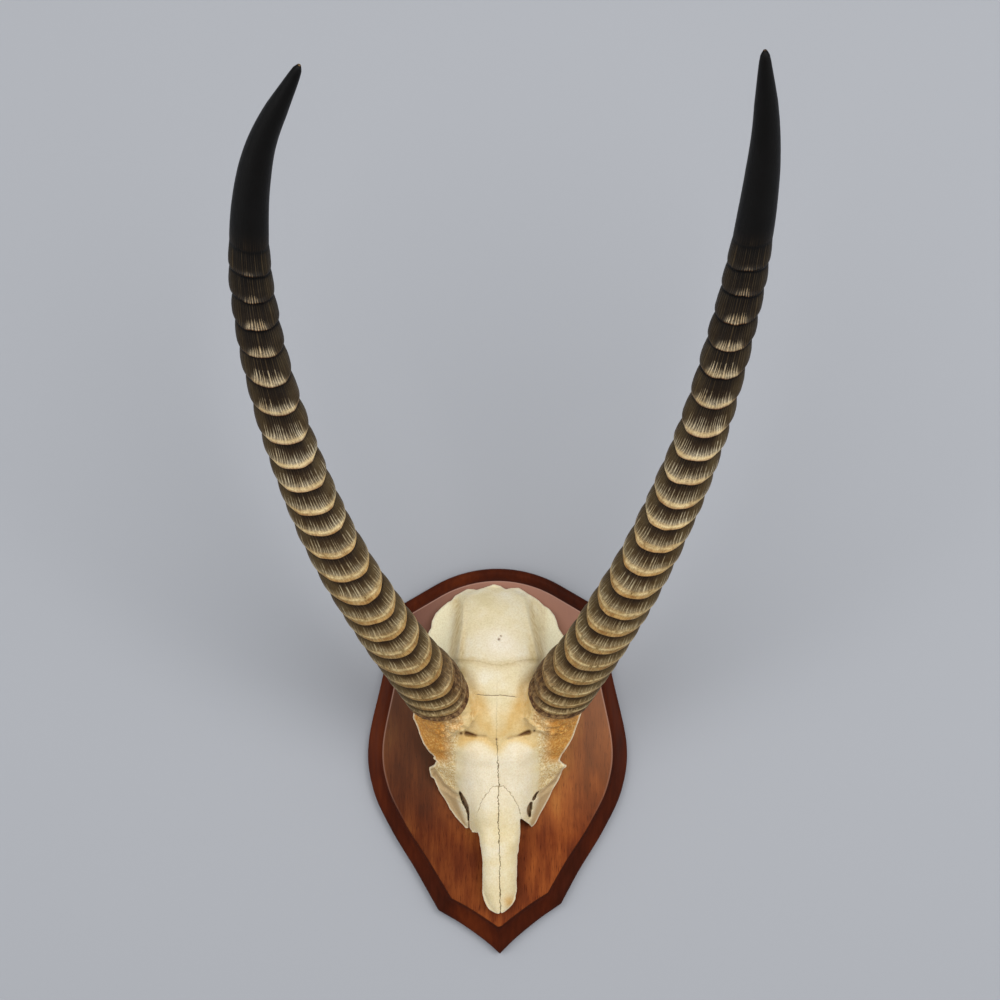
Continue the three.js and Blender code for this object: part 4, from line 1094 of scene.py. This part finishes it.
    # Grey-tan on the side flaps, and painted shade along the cheek grooves
    cheeks = sum(np.exp(-(from_line(px, pz, line) / 3) ** 2) for line in CHEEK_LINES)
    flap_starts = np.interp(pz, [-62, -30, -5], [26, 36, 60])
    flap_full = np.interp(pz, [-62, -30, -5], [30, 42, 64])
    flaps = fade(np.abs(px), flap_starts, flap_full) * fade(pz, 0, -8) * fade(pz, -66, -60)
    give_values(skull, "cheek", np.clip(0.6 * cheeks + flaps, 0, 1))
    temples = sum(np.exp(-((np.abs(from_line(px, pz, ridge)) - 4.5) / 4) ** 2) for ridge in TEMPLE_RIDGES)
    temples = temples * fade(np.abs(px), 26, 33) * fade(pz, 92, 104) * fade(pz, 156, 146)
    # The right side is tan further out
    right_side = fade(px, 33, 37) * fade(px, 50, 42) * fade(pz, 98, 106) * fade(pz, 154, 146)
    temples = np.maximum(temples, 0.45 * right_side)
    give_values(skull, "temple", np.clip(0.9 * temples, 0, 1))
    return skull


# The scene

def make_camera():
    data = bpy.data.cameras.new("camera")
    data.sensor_width = SENSOR
    data.lens = SENSOR * CAMERA_FROM_WALL / VIEW_WIDTH_AT_WALL
    camera = bpy.data.objects.new("camera", data)
    camera.location = Vector((CAMERA_X, -CAMERA_FROM_WALL, CAMERA_Z)) * MM
    camera.rotation_euler = (math.radians(90), 0, 0)
    bpy.context.scene.collection.objects.link(camera)
    bpy.context.scene.camera = camera


def make_light(name, place, aim, size, power, colour):
    data = bpy.data.lights.new(name, "AREA")
    data.shape = "DISK"
    data.size = size
    data.energy = power
    data.color = colour
    light = bpy.data.objects.new(name, data)
    light.location = place
    light.rotation_euler = (Vector(aim) - Vector(place)).to_track_quat("-Z", "Y").to_euler()
    bpy.context.scene.collection.objects.link(light)


def make_wall(material):
    """The wall, a millimetre behind the board and open where the board hides it, so that light from
    behind reaches the board's back."""
    far = WALL_REACH
    corners = np.array([(-far, -far), (far, -far), (far, far), (-far, far)], float)
    opening = inset(board_outline(), WALL_OVERLAP)
    flat = [Vector((x, z, 0)) for x, z in np.vstack([corners, opening])]
    faces = []
    for triangle in tessellate_polygon([flat[:4], flat[4:]]):
        a, b, c = (flat[k] for k in triangle)
        faces.append(triangle if (b - a).cross(c - a).z > 0 else triangle[::-1])
    return make_object("wall", [(p.x, WALL_AT, p.y) for p in flat], faces, material, smooth=False)


def make_surroundings():
    make_wall(plain_backdrop())
    world = bpy.data.worlds.new("studio")
    world.use_nodes = True
    world.node_tree.nodes["Background"].inputs[0].default_value = hex_colour("#EDEFF2")
    world.node_tree.nodes["Background"].inputs[1].default_value = 0.48
    bpy.context.scene.world = world
    make_light("right_softbox", (0.95, -2.5, 0.75), (0, -0.15, 0.15), 1.5, 31, (1, 0.985, 0.97))
    make_light("left_softbox", (-0.95, -2.5, 0.75), (0, -0.15, 0.15), 1.5, 20, (1, 0.985, 0.97))
    for name, x in (("right_fill", 2), ("left_fill", -2)):
        make_light(name, (x, -1.3, 0), (0, -0.08, 0.05), 1.2, 7, (1, 1, 1))
    make_light("back_fill", (0.6, 1.8, 1.2), (0, 0, 0.1), 1.2, 20, (1, 1, 1))
    bpy.context.scene.view_settings.view_transform = "Standard"


make_camera()
make_surroundings()

WOOD = stained_wood()
HORN = ringed_horn()
BONE = dry_bone()
BRASSED = plated_steel("brass_plated_steel", "#A8884A", "#C8AC6C")
ZINCED = plated_steel("zinc_plated_steel", "#9A9DA2", "#C0C2C6")

board = make_board(WOOD)
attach(board, "root")
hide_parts("plaque")

skull = make_skull(BONE)
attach(skull, "root")
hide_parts("skull_plate")

for side in ("left", "right"):
    horn = make_horn(side, HORN)
    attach(horn, "root")
    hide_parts(f"{side}_horn")

for name, material in (("sawtooth_hanger", BRASSED), ("hanger_nail_1", BRASSED), ("hanger_nail_2", BRASSED),
                       ("skull_screw_1", ZINCED), ("skull_screw_2", ZINCED)):
    node = bpy.data.objects[name]
    node.data.materials.clear()
    node.data.materials.append(material)
